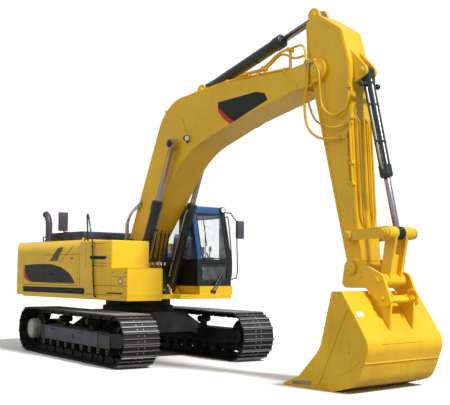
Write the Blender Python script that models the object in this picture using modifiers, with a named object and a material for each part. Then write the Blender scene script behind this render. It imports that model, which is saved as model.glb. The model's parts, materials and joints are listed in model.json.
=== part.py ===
"""Crawler excavator with a one-piece boom, a stick and a wide bucket on a quick coupler.

The frame has its x axis along the boom, its y axis to the operator's left and its z axis up.
The ground is at z = 0.  Every size below is in metres.
"""

from math import acos, asin, atan2, cos, hypot, pi, radians, sin, sqrt

import bmesh
import bpy
from mathutils import Matrix, Vector

# ---------------------------------------------------------------------------------------------
# Driving dimensions
# ---------------------------------------------------------------------------------------------

GAP = 0.0003                      # between two pieces that touch
PLAY = 0.006                      # around a door, lid or cover in its opening
ORIGIN_AHEAD = 1.69               # from the swing axis forward to the frame's origin

# undercarriage, in its own frame: x along the tracks
SWING_ANGLE = radians(6.1)        # how far the upper structure is turned to the left
WHEEL_BASE = 4.10                 # idler centre to sprocket centre
TRACK_GAUGE = 2.59                # between the middles of the two tracks
SHOE_WIDTH = 0.72
TRACK_RADIUS = 0.48               # wheel centre to the grousers' tips
SHOE_COUNT = 49
GROUSER_HEIGHT = 0.026
SHOE_THICKNESS = 0.014
CHAIN_HEIGHT = 0.100
CHAIN_WIDTH = 0.20
ROLLER_RADIUS = 0.088
ROLLER_WIDTH = 0.27
ROLLER_COUNT = 9
CARRIER_RADIUS = 0.068
CARRIER_SPREAD = 1.30             # between the two carrier rollers
FRAME_WIDTH = 0.40                # one track frame
FRAME_BOTTOM = 0.30
FRAME_TOP = 0.60
HUB_RADIUS = 0.21
CARBODY_RADIUS = 0.74
CARBODY_BOTTOM = 0.50
LEG_SPREAD = 1.50                 # between the front and the rear pair of carbody legs
LEG_WIDTH = 0.44

# slewing
SLEW_RADIUS = 0.68
SLEW_BORE = 0.50
SLEW_BOTTOM = 1.03
DECK_BOTTOM = 1.19

# upper structure, x = 0 at the swing axis
DECK_THICKNESS = 0.09
UPPER_WIDTH = 2.98
TAIL_RADIUS = 3.50
REAR_SPLIT = -2.30                # counterweight in front of this, housing behind
HOUSING_FRONT = 0.07
HOUSING_BACKWALL = -0.50          # cross wall behind the boom foot and the cab
HOUSING_TOP = 2.38
HOUSING_SHOULDER = 0.26
HOUSING_WALL = 0.04
BAY_INNER = -0.62                 # inner wall of the pump bay and of the tank
TANK_FRONT = 1.25
TANK_TOP = 2.33
STEP_FRONT = 1.77
STEP_TOP = 1.78
BOX_WALL = 0.02
LID_THICKNESS = 0.03
SKIRT_TOP = 1.48
DOOR_TOP = 2.08
DOOR_THICKNESS = 0.04
PIN_RADIUS = 0.012                # hinge pins of doors and lids
RIGHT_DOOR_X = (-1.38, 0.01)
LEFT_DOOR_X = (-2.05, -0.62)
HOOD_X = (-2.18, -0.60)
HOOD_WIDTH = 1.96
HOOD_TOP = 2.58
EXHAUST_PLACE = (-1.85, -1.13)
EXHAUST_RADIUS = 0.075
EXHAUST_TOP = 3.02
ENGINE_SIZE = (0.80, 1.25, 0.90)
ENGINE_X = -1.62

# cab
CAB_X = (-0.42, 1.28)
CAB_Y = (0.57, 1.48)
CAB_BOTTOM = 1.45
CAB_TOP = 3.12
CAB_BEND = 2.10                   # where the windscreen starts to lean back
CAB_ROOF_FRONT = 1.04
CAB_WALL = 0.055
CAB_PILLAR = 0.10
GLASS = 0.006
CAB_DOOR_X = (0.02, 1.00)
CAB_DOOR_Z = (1.56, 2.95)
CAB_HINGE = (0.038, 1.496)        # the door's pin, outside the cab's left wall
WAIST = 1.95                      # bar under the windscreen
SEAT_CENTRE = (0.38, 1.025)

# boom: u runs from the foot pin to the nose pin, v is square to it
BOOM_FOOT = Vector((0.05, 0.0, 1.90))
BOOM_LENGTH = 6.18
BOOM_ANGLE = radians(30.3)
BOOM_WIDTH = 0.66
BOOM_FOOT_WIDTH = 0.74
BOOM_FOOT_RADIUS = 0.17
BOOM_KNEE = (2.70, 2.08)
BOOM_BELLY = (2.75, 0.86)
NOSE_RADIUS = 0.19
NOSE_CHEEK = 0.085
BOOM_CYLINDER_ON_BOOM = (2.612, 1.161)
STICK_CYLINDER_ON_BOOM = (3.54, 1.80)

# stick: u runs from the pivot at the boom's nose to the bucket pin, v points away from the cab
STICK_LENGTH = 3.30
STICK_ANGLE = radians(-77.0)
STICK_WIDTH = 0.46
STICK_TAIL = 1.03
STICK_TIP_RADIUS = 0.13
BUCKET_CYLINDER_ON_STICK = (0.30, 0.74)
IDLER_ON_STICK = (2.80, 0.045)

# linkage and bucket, measured from the bucket pin
LINK_JOINT = (0.602, 0.527)       # idler links to power link
COUPLER_PIN = (0.470, -0.180)     # power link to coupler
IDLER_OUTER = 0.355
IDLER_THICKNESS = 0.05
COUPLER_OUTER = 0.345
COUPLER_PLATE = 0.050
LOWER_PIN = (0.62, -0.47)
BUCKET_PIN_RADIUS = 0.056
IDLER_PIN_RADIUS = 0.045
PIN_PLAY = 0.0012                 # lets a faceted pin turn in its faceted bore
BUCKET_WIDTH = 1.78
BUCKET_PLATE = 0.032
BUCKET_EAR = 0.045

# cylinders
BOOM_CYLINDER_BASE = (0.52, 1.39)
BOOM_CYLINDER_SPACING = 0.88
BOOM_BARREL = 0.096
BOOM_ROD = 0.055
BOOM_BARREL_LENGTH = 1.86
STICK_BARREL = 0.108
STICK_ROD = 0.058
STICK_BARREL_LENGTH = 2.17
BUCKET_BARREL = 0.088
BUCKET_ROD = 0.050
BUCKET_BARREL_LENGTH = 1.72
EYE_WIDTH = 0.16
BARREL_START = 0.16               # from the base pin to the barrel
BOOM_STROKE = (0.64, 0.32)        # how far the rod moves in and out from the frame's pose
STICK_STROKE = (0.78, 0.73)
BUCKET_STROKE = (0.54, 0.54)
ROD_HELD = 0.10                   # of the rod left in its barrel when it is fully out

# ---------------------------------------------------------------------------------------------
# Places worked out from them
# ---------------------------------------------------------------------------------------------


def along(angle, u, v):
    """A point of a bar's own plane, as an (x, z) step from its pivot."""
    return Vector((u * cos(angle) - v * sin(angle), 0.0, u * sin(angle) + v * cos(angle)))


def on_boom(u, v):
    return BOOM_FOOT + along(BOOM_ANGLE, u, v)


BOOM_NOSE = on_boom(BOOM_LENGTH, 0.0)


def on_stick(u, v):
    return BOOM_NOSE + along(STICK_ANGLE, u, v)


BUCKET_PIN = on_stick(STICK_LENGTH, 0.0)


def from_bucket_pin(dx, dz):
    return BUCKET_PIN + Vector((dx, 0.0, dz))


LINK_PIN = from_bucket_pin(*LINK_JOINT)
POWER_PIN = from_bucket_pin(*COUPLER_PIN)
IDLER_PIN = on_stick(*IDLER_ON_STICK)
STICK_TAIL_PIN = on_stick(-STICK_TAIL, 0.0)
BUCKET_CYLINDER_PIN = on_stick(*BUCKET_CYLINDER_ON_STICK)
BOOM_CYLINDER_PIN = on_boom(*BOOM_CYLINDER_ON_BOOM)
STICK_CYLINDER_PIN = on_boom(*STICK_CYLINDER_ON_BOOM)
BOOM_CYLINDER_FOOT = Vector((BOOM_CYLINDER_BASE[0], 0.0, BOOM_CYLINDER_BASE[1]))

DECK_TOP = DECK_BOTTOM + DECK_THICKNESS
HALF_UPPER = UPPER_WIDTH / 2
SHOE_INNER = TRACK_RADIUS - GROUSER_HEIGHT - SHOE_THICKNESS
CHAIN_INNER = SHOE_INNER - CHAIN_HEIGHT
SIDES = {"left": 1, "right": -1}

# ---------------------------------------------------------------------------------------------
# Scene, materials and parents
# ---------------------------------------------------------------------------------------------

for leftover in list(bpy.data.objects):
    bpy.data.objects.remove(leftover)

MACHINE = bpy.data.collections.new("crawler_excavator")
TOOLS = bpy.data.collections.new("shaping_tools")
bpy.context.scene.collection.children.link(MACHINE)
bpy.context.scene.collection.children.link(TOOLS)


def finish(name, colour, roughness, metallic=0.0):
    """A Principled material with one colour."""
    material = bpy.data.materials.new(name)
    material.use_nodes = True
    shader = material.node_tree.nodes["Principled BSDF"]
    shader.inputs["Base Color"].default_value = (*colour, 1.0)
    shader.inputs["Roughness"].default_value = roughness
    shader.inputs["Metallic"].default_value = metallic
    return material


YELLOW = finish("yellow_paint", (0.83, 0.45, 0.02), 0.4)
BLACK = finish("black_paint", (0.02, 0.02, 0.022), 0.45)
TRACK_STEEL = finish("track_steel", (0.03, 0.03, 0.033), 0.5, 0.8)
FRAME_GREY = finish("undercarriage_paint", (0.06, 0.06, 0.07), 0.5)
CHROME = finish("chromed_rod", (0.75, 0.75, 0.80), 0.15, 1.0)
CAB_BLUE = finish("cab_paint", (0.03, 0.07, 0.13), 0.4)
HOOD_BLUE = finish("hood_paint", (0.02, 0.025, 0.05), 0.45)
GLAZING = finish("glass", (0.6, 0.7, 0.75), 0.05)
CLOTH = finish("seat_cloth", (0.12, 0.16, 0.24), 0.9)
TRIM = finish("cab_trim", (0.04, 0.04, 0.045), 0.7)
CAST_IRON = finish("engine_iron", (0.25, 0.22, 0.10), 0.6)


def empty(name, place, parent=None, turn=0.0):
    """An axis to hang pieces on; its children keep the coordinates of the upper structure."""
    axis = bpy.data.objects.new(name, None)
    axis.location = place
    axis.rotation_euler.z = turn
    MACHINE.objects.link(axis)
    attach(axis, parent)
    axis["place"] = tuple(place)
    return axis


def attach(piece, parent):
    """Parents a piece so that its own coordinates stay those of the upper structure."""
    if parent is None:
        return piece
    piece.parent = parent
    piece.matrix_parent_inverse = Matrix.Translation(-Vector(parent["place"]))
    return piece


ROOT = empty("machine", (-ORIGIN_AHEAD, 0.0, 0.0))
ROOT["place"] = (0.0, 0.0, 0.0)
TRACKS = empty("undercarriage_axis", (0.0, 0.0, 0.0), ROOT, -SWING_ANGLE)
SWING = empty("swing_axis", (0.0, 0.0, 0.0), ROOT)
BOOM_AXIS = empty("boom_axis", BOOM_FOOT, SWING)
STICK_AXIS = empty("stick_axis", BOOM_NOSE, BOOM_AXIS)
BUCKET_AXIS = empty("bucket_axis", BUCKET_PIN, STICK_AXIS)
IDLER_AXIS = empty("idler_axis", IDLER_PIN, STICK_AXIS)
LINK_AXIS = empty("link_axis", LINK_PIN, IDLER_AXIS)
BOOM_CYLINDER_AXIS = empty("boom_cylinder_axis", BOOM_CYLINDER_FOOT, SWING)
STICK_CYLINDER_AXIS = empty("stick_cylinder_axis", STICK_CYLINDER_PIN, BOOM_AXIS)
BUCKET_CYLINDER_AXIS = empty("bucket_cylinder_axis", BUCKET_CYLINDER_PIN, STICK_AXIS)

# ---------------------------------------------------------------------------------------------
# Shapes
# ---------------------------------------------------------------------------------------------


def rounded(corners, steps=4):
    """The outline through corners (a, b) or (a, b, radius), with an arc at each radius."""
    points = []
    count = len(corners)
    for index, corner in enumerate(corners):
        here = Vector(corner[:2])
        if len(corner) == 2:
            points.append(tuple(here))
            continue
        before = (Vector(corners[index - 1][:2]) - here).normalized()
        after = (Vector(corners[(index + 1) % count][:2]) - here).normalized()
        half = acos(max(-1.0, min(1.0, before.dot(after)))) / 2
        reach = corner[2] / sin(half)
        centre = here + (before + after).normalized() * reach
        first = here + before * (reach * cos(half)) - centre
        last = here + after * (reach * cos(half)) - centre
        start = atan2(first.y, first.x)
        sweep = (atan2(last.y, last.x) - start + pi) % (2 * pi) - pi
        for step in range(steps + 1):
            angle = start + sweep * step / steps
            points.append((centre.x + corner[2] * cos(angle), centre.y + corner[2] * sin(angle)))
    return points


def around(circles, steps=16):
    """The convex outline around circles (a, b, radius)."""
    points = sorted(
        (a + r * cos(2 * pi * step / steps), b + r * sin(2 * pi * step / steps))
        for a, b, r in circles
        for step in range(steps)
    )

    def chain(ordered):
        hull = []
        for point in ordered:
            while len(hull) > 1:
                (ax, ay), (bx, by) = hull[-2], hull[-1]
                if (bx - ax) * (point[1] - ay) - (by - ay) * (point[0] - ax) > 1e-9:
                    break
                hull.pop()
            hull.append(point)
        return hull[:-1]

    return chain(points) + chain(points[::-1])


def keep(piece, name, material, parent):
    """Names a new object, gives it its material and parent, and files it."""
    piece.name = name
    piece.data.name = name
    piece.data.materials.clear()
    piece.data.materials.append(material)
    for collection in list(piece.users_collection):
        collection.objects.unlink(piece)
    MACHINE.objects.link(piece)
    return attach(piece, parent)


def solid(curve, name, material, parent):
    """The closed mesh of a curve object, which it replaces."""
    matrix = curve.matrix_basis.copy()
    bpy.context.scene.collection.objects.link(curve)
    bpy.context.view_layer.update()
    evaluated = curve.evaluated_get(bpy.context.evaluated_depsgraph_get())
    mesh = bpy.data.meshes.new_from_object(evaluated)
    bpy.data.objects.remove(curve)
    shell = bmesh.new()
    shell.from_mesh(mesh)
    bmesh.ops.remove_doubles(shell, verts=shell.verts, dist=0.00005)
    bmesh.ops.recalc_face_normals(shell, faces=shell.faces)
    shell.to_mesh(mesh)
    shell.free()
    piece = bpy.data.objects.new(name, mesh)
    piece.matrix_basis = matrix
    return keep(piece, name, material, parent)


def outline_curve(name, outline, thickness, hole=()):
    """A filled 2D curve of an outline and its hole, extruded to a thickness about its plane."""
    curve = bpy.data.curves.new(name, "CURVE")
    curve.dimensions = "2D"
    curve.fill_mode = "BOTH"
    curve.extrude = thickness / 2
    for path in filter(None, (outline, hole)):
        spline = curve.splines.new("POLY")
        spline.points.add(len(path) - 1)
        for point, (a, b) in zip(spline.points, path):
            point.co = (a, b, 0.0, 1.0)
        spline.use_cyclic_u = True
    return bpy.data.objects.new(name, curve)


def plate(name, outline, span, material, parent, hole=()):
    """An (x, z) outline that reaches across y, from span[0] to span[1]."""
    curve = outline_curve(name, outline, span[1] - span[0], hole)
    curve.rotation_euler = (pi / 2, 0.0, 0.0)
    curve.location.y = (span[0] + span[1]) / 2
    return solid(curve, name, material, parent)


def bulkhead(name, outline, span, material, parent):
    """A (y, z) outline that reaches along x, from span[0] to span[1]."""
    curve = outline_curve(name, outline, span[1] - span[0])
    curve.rotation_euler = (pi / 2, 0.0, pi / 2)
    curve.location.x = (span[0] + span[1]) / 2
    return solid(curve, name, material, parent)


def slab(name, outline, span, material, parent):
    """An (x, y) outline that reaches up z, from span[0] to span[1]."""
    curve = outline_curve(name, outline, span[1] - span[0])
    curve.location.z = (span[0] + span[1]) / 2
    return solid(curve, name, material, parent)


def box(name, x, y, z, material, parent):
    """A box between two x, two y and two z."""
    bpy.ops.mesh.primitive_cube_add(size=1.0)
    piece = bpy.context.object
    size = Vector((x[1] - x[0], y[1] - y[0], z[1] - z[0]))
    middle = Vector((x[0] + x[1], y[0] + y[1], z[0] + z[1])) / 2
    piece.data.transform(Matrix.LocRotScale(None, None, size))
    piece.location = middle
    return keep(piece, name, material, parent)


def cylinder(name, radius, start, end, material, parent, vertices=20):
    """A cylinder between two points."""
    start = Vector(start)
    end = Vector(end)
    axis = end - start
    bpy.ops.mesh.primitive_cylinder_add(vertices=vertices, radius=radius, depth=axis.length)
    piece = bpy.context.object
    piece.data.shade_smooth()
    piece.data.set_sharp_from_angle(angle=radians(40))
    piece.location = (start + end) / 2
    piece.rotation_euler = Vector((0, 0, 1)).rotation_difference(axis).to_euler()
    return keep(piece, name, material, parent)


def crosswise(name, radius, pin, span, material, parent, vertices=20):
    """A cylinder along y through a pin's place."""
    start = (pin[0], span[0], pin[-1])
    end = (pin[0], span[1], pin[-1])
    return cylinder(name, radius, start, end, material, parent, vertices)


def rod(name, radius, points, material, parent):
    """A bent round bar through its points."""
    curve = bpy.data.curves.new(name, "CURVE")
    curve.dimensions = "3D"
    curve.bevel_depth = radius
    curve.bevel_resolution = 2
    curve.use_fill_caps = True
    spline = curve.splines.new("POLY")
    spline.points.add(len(points) - 1)
    for place, point in zip(points, spline.points):
        point.co = (*place, 1.0)
    return solid(bpy.data.objects.new(name, curve), name, material, parent)


def shape(target, tools, operation):
    """Joins tools to the target, or cuts them from it, and files them as tools."""
    for tool in tools:
        modifier = target.modifiers.new(tool.name, "BOOLEAN")
        modifier.operation = operation
        modifier.solver = "EXACT"
        modifier.object = tool
        tool.hide_render = True
        tool.display_type = "WIRE"
        MACHINE.objects.unlink(tool)
        TOOLS.objects.link(tool)
    return target


def join(target, *tools):
    return shape(target, tools, "UNION")


def cut(target, *tools):
    return shape(target, tools, "DIFFERENCE")


def soften(piece, width, segments=2):
    """Rounds a piece's sharp edges."""
    bevel = piece.modifiers.new("soften", "BEVEL")
    bevel.width = width
    bevel.segments = segments
    bevel.limit_method = "ANGLE"
    bevel.angle_limit = radians(40)
    return piece


# ---------------------------------------------------------------------------------------------
# Undercarriage
# ---------------------------------------------------------------------------------------------


def loop_point(distance, radius):
    """A point on the track's path at a radius from the wheels' centres, and its outward normal."""
    straight = WHEEL_BASE
    turn = pi * TRACK_RADIUS
    distance %= 2 * (straight + turn)
    if distance < straight:
        return Vector((-straight / 2 + distance, -radius)), Vector((0.0, -1.0))
    if distance < straight + turn:
        angle = -pi / 2 + (distance - straight) / TRACK_RADIUS
        normal = Vector((cos(angle), sin(angle)))
        return Vector((straight / 2, 0.0)) + normal * radius, normal
    if distance < 2 * straight + turn:
        back = distance - straight - turn
        return Vector((straight / 2 - back, radius)), Vector((0.0, 1.0))
    angle = pi / 2 + (distance - 2 * straight - turn) / TRACK_RADIUS
    normal = Vector((cos(angle), sin(angle)))
    return Vector((-straight / 2, 0.0)) + normal * radius, normal


def shoe_outline():
    """The loop of shoes from the side, each as high as its grousers, with a notch between two."""
    pitch = 2 * (WHEEL_BASE + pi * TRACK_RADIUS) / SHOE_COUNT
    base = TRACK_RADIUS - GROUSER_HEIGHT
    tip = TRACK_RADIUS
    steps = [(0.04, base), (0.08, tip), (0.92, tip), (0.96, base)]
    points = []
    for shoe in range(SHOE_COUNT):
        for share, radius in steps:
            place, _ = loop_point((shoe + share) * pitch, radius)
            points.append((place.x, place.y + TRACK_RADIUS))
    return points


def stadium(radius, steps=12):
    """The outline at one radius around both wheels."""
    half = WHEEL_BASE / 2
    front = [(half + radius * cos(a), TRACK_RADIUS + radius * sin(a))
             for a in (-pi / 2 + pi * step / steps for step in range(steps + 1))]
    rear = [(-half + radius * cos(a), TRACK_RADIUS + radius * sin(a))
            for a in (pi / 2 + pi * step / steps for step in range(steps + 1))]
    return front + rear


def track(side, y):
    """One track, a loop of shoes on a narrower loop of chain."""
    half = SHOE_WIDTH / 2
    chain_half = CHAIN_WIDTH / 2
    shoes = plate("track_" + side, shoe_outline(), (y - half, y + half), TRACK_STEEL, TRACKS,
                  stadium(SHOE_INNER))
    chain = plate("chain_" + side, stadium(SHOE_INNER + SHOE_THICKNESS / 2),
                  (y - chain_half, y + chain_half), TRACK_STEEL, TRACKS, stadium(CHAIN_INNER))
    join(shoes, chain)
    shoes.modifiers[0].solver = "MANIFOLD"    # EXACT leaves this union open
    return shoes


def wheel_profile(wheel, name, y, hub_out, hub_in):
    """A disc that fills the chain's bend, with a hub on each side."""
    x = wheel * WHEEL_BASE / 2
    half = CHAIN_WIDTH / 2
    flat_radius = (CHAIN_INNER - 0.001) * cos(pi / 24)
    disc = crosswise(name, flat_radius, (x, TRACK_RADIUS), (y - half, y + half),
                     TRACK_STEEL, TRACKS, 36)
    hub = crosswise(name + "_hub", HUB_RADIUS, (x, TRACK_RADIUS), (y + hub_in, y + hub_out),
                    TRACK_STEEL, TRACKS)
    return join(disc, hub)


def sprocket(side, sign, y):
    """The drive sprocket with its final drive, which reaches in to the track frame's motor case."""
    span = sorted((-sign * 0.20, sign * 0.27))
    return wheel_profile(-1, "sprocket_" + side, y, span[1], span[0])


def idler(side, y):
    """The idler, carried by its axle between the two arms of the yoke."""
    reach = FRAME_WIDTH / 2 - 0.05 - GAP
    x = WHEEL_BASE / 2
    half = CHAIN_WIDTH / 2 - 0.02
    flat_radius = (CHAIN_INNER - 0.001) * cos(pi / 24)
    disc = crosswise("idler_" + side, flat_radius, (x, TRACK_RADIUS), (y - half, y + half),
                     TRACK_STEEL, TRACKS, 36)
    axle = crosswise("idler_axle_" + side, 0.10, (x, TRACK_RADIUS), (y - reach, y + reach),
                     TRACK_STEEL, TRACKS)
    return join(disc, axle)


def track_frame(side, sign, y):
    """The track frame with its yoke, motor case, rollers and carrier rollers."""
    half = FRAME_WIDTH / 2
    rear = -WHEEL_BASE / 2 + 0.46
    front = WHEEL_BASE / 2 - 0.40
    frame = box("track_frame_" + side, (rear, front), (y - half, y + half),
                (FRAME_BOTTOM, FRAME_TOP), FRAME_GREY, TRACKS)
    pieces = []
    for hand in (-1, 1):
        arm_y = sorted((y + hand * half, y + hand * (half - 0.05)))
        pieces.append(plate(f"yoke_{side}_{hand}", around([
            (front - 0.2, 0.45, 0.12), (WHEEL_BASE / 2, TRACK_RADIUS, 0.13)]),
            arm_y, FRAME_GREY, TRACKS))
    case_y = sorted((y - sign * (0.20 + GAP), y - sign * 0.42))
    case = around([(-WHEEL_BASE / 2, TRACK_RADIUS, 0.20), (rear + 0.30, 0.45, 0.14)])
    pieces.append(plate("motor_case_" + side, case, case_y, FRAME_GREY, TRACKS))
    bridge_y = sorted((y - sign * 0.10, y - sign * 0.42))
    pieces.append(box("motor_bridge_" + side, (rear + 0.02, rear + 0.40), bridge_y,
                      (FRAME_BOTTOM + 0.02, FRAME_TOP - 0.02), FRAME_GREY, TRACKS))
    floor = TRACK_RADIUS - CHAIN_INNER
    ceiling = TRACK_RADIUS + CHAIN_INNER
    run = front - rear - 0.24
    for number in range(ROLLER_COUNT):
        x = rear + 0.12 + run * number / (ROLLER_COUNT - 1)
        pieces.append(crosswise(f"roller_{side}_{number}", ROLLER_RADIUS,
                                (x, floor + ROLLER_RADIUS + GAP),
                                (y - ROLLER_WIDTH / 2, y + ROLLER_WIDTH / 2), BLACK, TRACKS, 12))
    for number in (-1, 1):
        x = number * CARRIER_SPREAD / 2 - 0.1
        top = ceiling - CARRIER_RADIUS - GAP
        pieces.append(crosswise(f"carrier_{side}_{number}", CARRIER_RADIUS, (x, top),
                                (y - 0.12, y + 0.12), BLACK, TRACKS, 12))
        pieces.append(box(f"carrier_stand_{side}_{number}", (x - 0.06, x + 0.06),
                          (y - 0.05, y + 0.05), (FRAME_TOP - 0.02, top), BLACK, TRACKS))
    return join(frame, *pieces)


def carbody():
    """The centre frame: a round table on two pairs of legs that reach the track frames."""
    inner = TRACK_GAUGE / 2 - FRAME_WIDTH / 2 - GAP
    body = cylinder("carbody", CARBODY_RADIUS, (0, 0, CARBODY_BOTTOM), (0, 0, SLEW_BOTTOM),
                    FRAME_GREY, TRACKS, 32)
    legs = []
    for hand in (-1, 1):
        profile = rounded([(-inner, FRAME_BOTTOM + 0.06), (-inner, FRAME_TOP - 0.02), (-0.55, 0.93),
                           (0.55, 0.93), (inner, FRAME_TOP - 0.02), (inner, FRAME_BOTTOM + 0.06),
                           (0.75, 0.52), (-0.75, 0.52)])
        x = hand * LEG_SPREAD / 2
        legs.append(bulkhead(f"leg_{hand}", profile, (x - LEG_WIDTH / 2, x + LEG_WIDTH / 2),
                             FRAME_GREY, TRACKS))
    legs.append(box("carbody_floor", (-LEG_SPREAD / 2, LEG_SPREAD / 2), (-0.50, 0.50),
                    (0.53, 0.90), FRAME_GREY, TRACKS))
    return join(body, *legs)


def slew_ring():
    """The slewing bearing between the carbody and the deck."""
    ring = cylinder("slew_ring", SLEW_RADIUS, (0, 0, SLEW_BOTTOM + GAP), (0, 0, DECK_BOTTOM - GAP),
                    BLACK, TRACKS, 48)
    bore = cylinder("slew_bore", SLEW_BORE, (0, 0, 1.0), (0, 0, 1.3), BLACK, TRACKS, 48)
    return cut(ring, bore)


def undercarriage():
    carbody()
    slew_ring()
    for side, sign in SIDES.items():
        y = sign * TRACK_GAUGE / 2
        track(side, y)
        track_frame(side, sign, y)
        sprocket(side, sign, y)
        idler(side, y)


# ---------------------------------------------------------------------------------------------
# Upper structure
# ---------------------------------------------------------------------------------------------


def revolving_frame():
    """The deck, the boom's lugs, the cylinders' lugs, the side skirts and the cab's base."""
    frame = slab("revolving_frame", rounded([
        (REAR_SPLIT + GAP, -HALF_UPPER), (STEP_FRONT, -HALF_UPPER), (STEP_FRONT, -0.70),
        (1.05, -0.64, 0.1), (0.98, 0.10, 0.1), (1.20, 0.20), (1.36, CAB_Y[0]),
        (1.36, HALF_UPPER - 0.05, 0.04), (REAR_SPLIT + GAP, HALF_UPPER - 0.002)]),
        (DECK_BOTTOM, DECK_TOP), YELLOW, SWING)
    pieces = []
    for hand in (-1, 1):
        lug_y = sorted(hand * (BOOM_FOOT_WIDTH / 2 + GAP + d) for d in (0.0, 0.06))
        pieces.append(plate(f"boom_lug_{hand}", around([
            (BOOM_FOOT.x, BOOM_FOOT.z, 0.19), (-0.42, DECK_TOP - 0.02, 0.05),
            (0.30, DECK_TOP - 0.02, 0.05)]), lug_y, YELLOW, SWING))
        middle = hand * BOOM_CYLINDER_SPACING / 2
        for edge in (-1, 1):
            inner = EYE_WIDTH / 2 + GAP
            ear_y = sorted(middle + edge * d for d in (inner, inner + 0.035))
            pieces.append(plate(f"cylinder_ear_{hand}_{edge}", around([
                (*BOOM_CYLINDER_BASE, 0.10), (BOOM_CYLINDER_BASE[0] - 0.22, DECK_TOP - 0.03, 0.03),
                (BOOM_CYLINDER_BASE[0] + 0.20, DECK_TOP - 0.03, 0.03)]), ear_y, YELLOW, SWING))
        skirt_y = sorted((hand * HALF_UPPER, hand * (HALF_UPPER - 0.06)))
        skirt_end = (0.0, 1.26)[hand > 0]
        pieces.append(box(f"skirt_{hand}", (REAR_SPLIT + 0.002, skirt_end), skirt_y,
                          (DECK_BOTTOM + 0.03, SKIRT_TOP - 0.04), YELLOW, SWING))
    pieces.append(box("cab_base", (CAB_X[0], 1.34), (CAB_Y[0] + 0.01, CAB_Y[1] - 0.01),
                      (DECK_TOP - 0.02, CAB_BOTTOM - GAP), YELLOW, SWING))
    return join(frame, *pieces)


def housing_profile(inset=0.0, bottom=DECK_TOP + GAP):
    """The engine housing from the rear, with round shoulders."""
    half = HALF_UPPER - inset
    top = HOUSING_TOP - inset
    radius = HOUSING_SHOULDER - inset / 2
    return rounded([(-half, bottom), (-half, top, radius), (half, top, radius), (half, bottom)], 5)


def engine_housing():
    """The fixed bodywork over the engine and the pump bay, open under its hood and doors."""
    housing = bulkhead("engine_housing", housing_profile(), (REAR_SPLIT + GAP, HOUSING_FRONT),
                       YELLOW, SWING)
    far = HALF_UPPER + 0.1
    high = HOUSING_TOP + 0.1
    wall = HOUSING_WALL
    cutters = [
        box("boom_side", (HOUSING_BACKWALL, HOUSING_FRONT + 0.1), (BAY_INNER, far),
            (DECK_BOTTOM, high), YELLOW, SWING),
        bulkhead("engine_room", housing_profile(wall, DECK_BOTTOM),
                 (REAR_SPLIT - 0.1, HOUSING_BACKWALL - wall), YELLOW, SWING),
        box("pump_bay", (HOUSING_BACKWALL - wall - 0.01, HOUSING_FRONT - wall),
            (-HALF_UPPER + wall, BAY_INNER - wall), (DECK_BOTTOM, HOUSING_TOP - wall - 0.2),
            YELLOW, SWING),
        box("hood_room", HOOD_X, (-HOOD_WIDTH / 2 + 0.06, HOOD_WIDTH / 2 - 0.06),
            (HOUSING_TOP - 0.1, high), YELLOW, SWING),
        box("right_door_room", RIGHT_DOOR_X, (-far, -HALF_UPPER + wall + 0.02),
            (SKIRT_TOP, DOOR_TOP), YELLOW, SWING),
        box("left_door_room", LEFT_DOOR_X, (HALF_UPPER - wall - 0.02, far),
            (SKIRT_TOP, DOOR_TOP), YELLOW, SWING),
    ]
    for hand in (-1, 1):
        skirt_y = sorted((hand * far, hand * (HALF_UPPER - 0.06 - GAP)))
        cutters.append(box(f"skirt_room_{hand}", (REAR_SPLIT - 0.1, 0.0 + GAP), skirt_y,
                           (DECK_BOTTOM, SKIRT_TOP - 0.04 + GAP), YELLOW, SWING))
    cut(housing, *cutters)
    ears = []
    for hand in (-1, 1):
        ear_y = sorted(hand * (HOOD_WIDTH / 2 + d) for d in (GAP, 0.04))
        ears.append(plate(f"hood_ear_{hand}", around([
            (HOOD_X[1], HOUSING_TOP + 0.03, 0.03), (HOOD_X[1], HOUSING_TOP - 0.01, 0.03)]),
            ear_y, YELLOW, SWING))
    return join(housing, *ears)


def side_door(name, reach, hand, material):
    """A panel in the housing's side; its hinge pin runs from sill to lintel at its rear edge."""
    outer = hand * HALF_UPPER
    thickness = sorted((outer, outer - hand * DOOR_THICKNESS))
    pin_x = reach[0] + PLAY + PIN_RADIUS
    pin_y = outer - hand * PIN_RADIUS
    axis = empty(name + "_axis", (pin_x, pin_y, SKIRT_TOP), SWING)
    door = box(name, (reach[0] + PLAY, reach[1] - PLAY), thickness,
               (SKIRT_TOP + PLAY, DOOR_TOP - PLAY), material, axis)
    pin = cylinder(name + "_pin", PIN_RADIUS * 0.98, (pin_x, pin_y, SKIRT_TOP + GAP),
                   (pin_x, pin_y, DOOR_TOP - GAP), material, axis, 12)
    return join(door, pin)


def engine_hood():
    """The raised cover over the engine, hinged between two ears at its front edge."""
    half = HOOD_WIDTH / 2
    hinge = (HOOD_X[1], HOUSING_TOP + 0.03)
    axis = empty("engine_hood_axis", (hinge[0], 0.0, hinge[1]), SWING)
    side = rounded([(HOOD_X[0], HOUSING_TOP + PLAY), (HOOD_X[1] - 0.01, HOUSING_TOP + PLAY),
                    (HOOD_X[1] - 0.06, HOOD_TOP, 0.05), (HOOD_X[0] + 0.05, HOOD_TOP, 0.05)])
    hood = plate("engine_hood", side, (-half + 0.004, half - 0.004), HOOD_BLUE, axis)
    room = box("hood_hollow", (HOOD_X[0] + 0.07, HOOD_X[1] - 0.10), (-half + 0.05, half - 0.05),
               (HOUSING_TOP - 0.1, HOOD_TOP - 0.04), HOOD_BLUE, axis)
    cut(hood, room)
    pin = crosswise("hood_pin", PIN_RADIUS, hinge, (-half, half), HOOD_BLUE, axis, 12)
    tabs = box("hood_tabs", (HOOD_X[1] - 0.07, HOOD_X[1]), (-half + 0.01, half - 0.01),
               (HOUSING_TOP + 0.02, HOUSING_TOP + 0.04), HOOD_BLUE, axis)
    return join(hood, tabs, pin)


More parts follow.
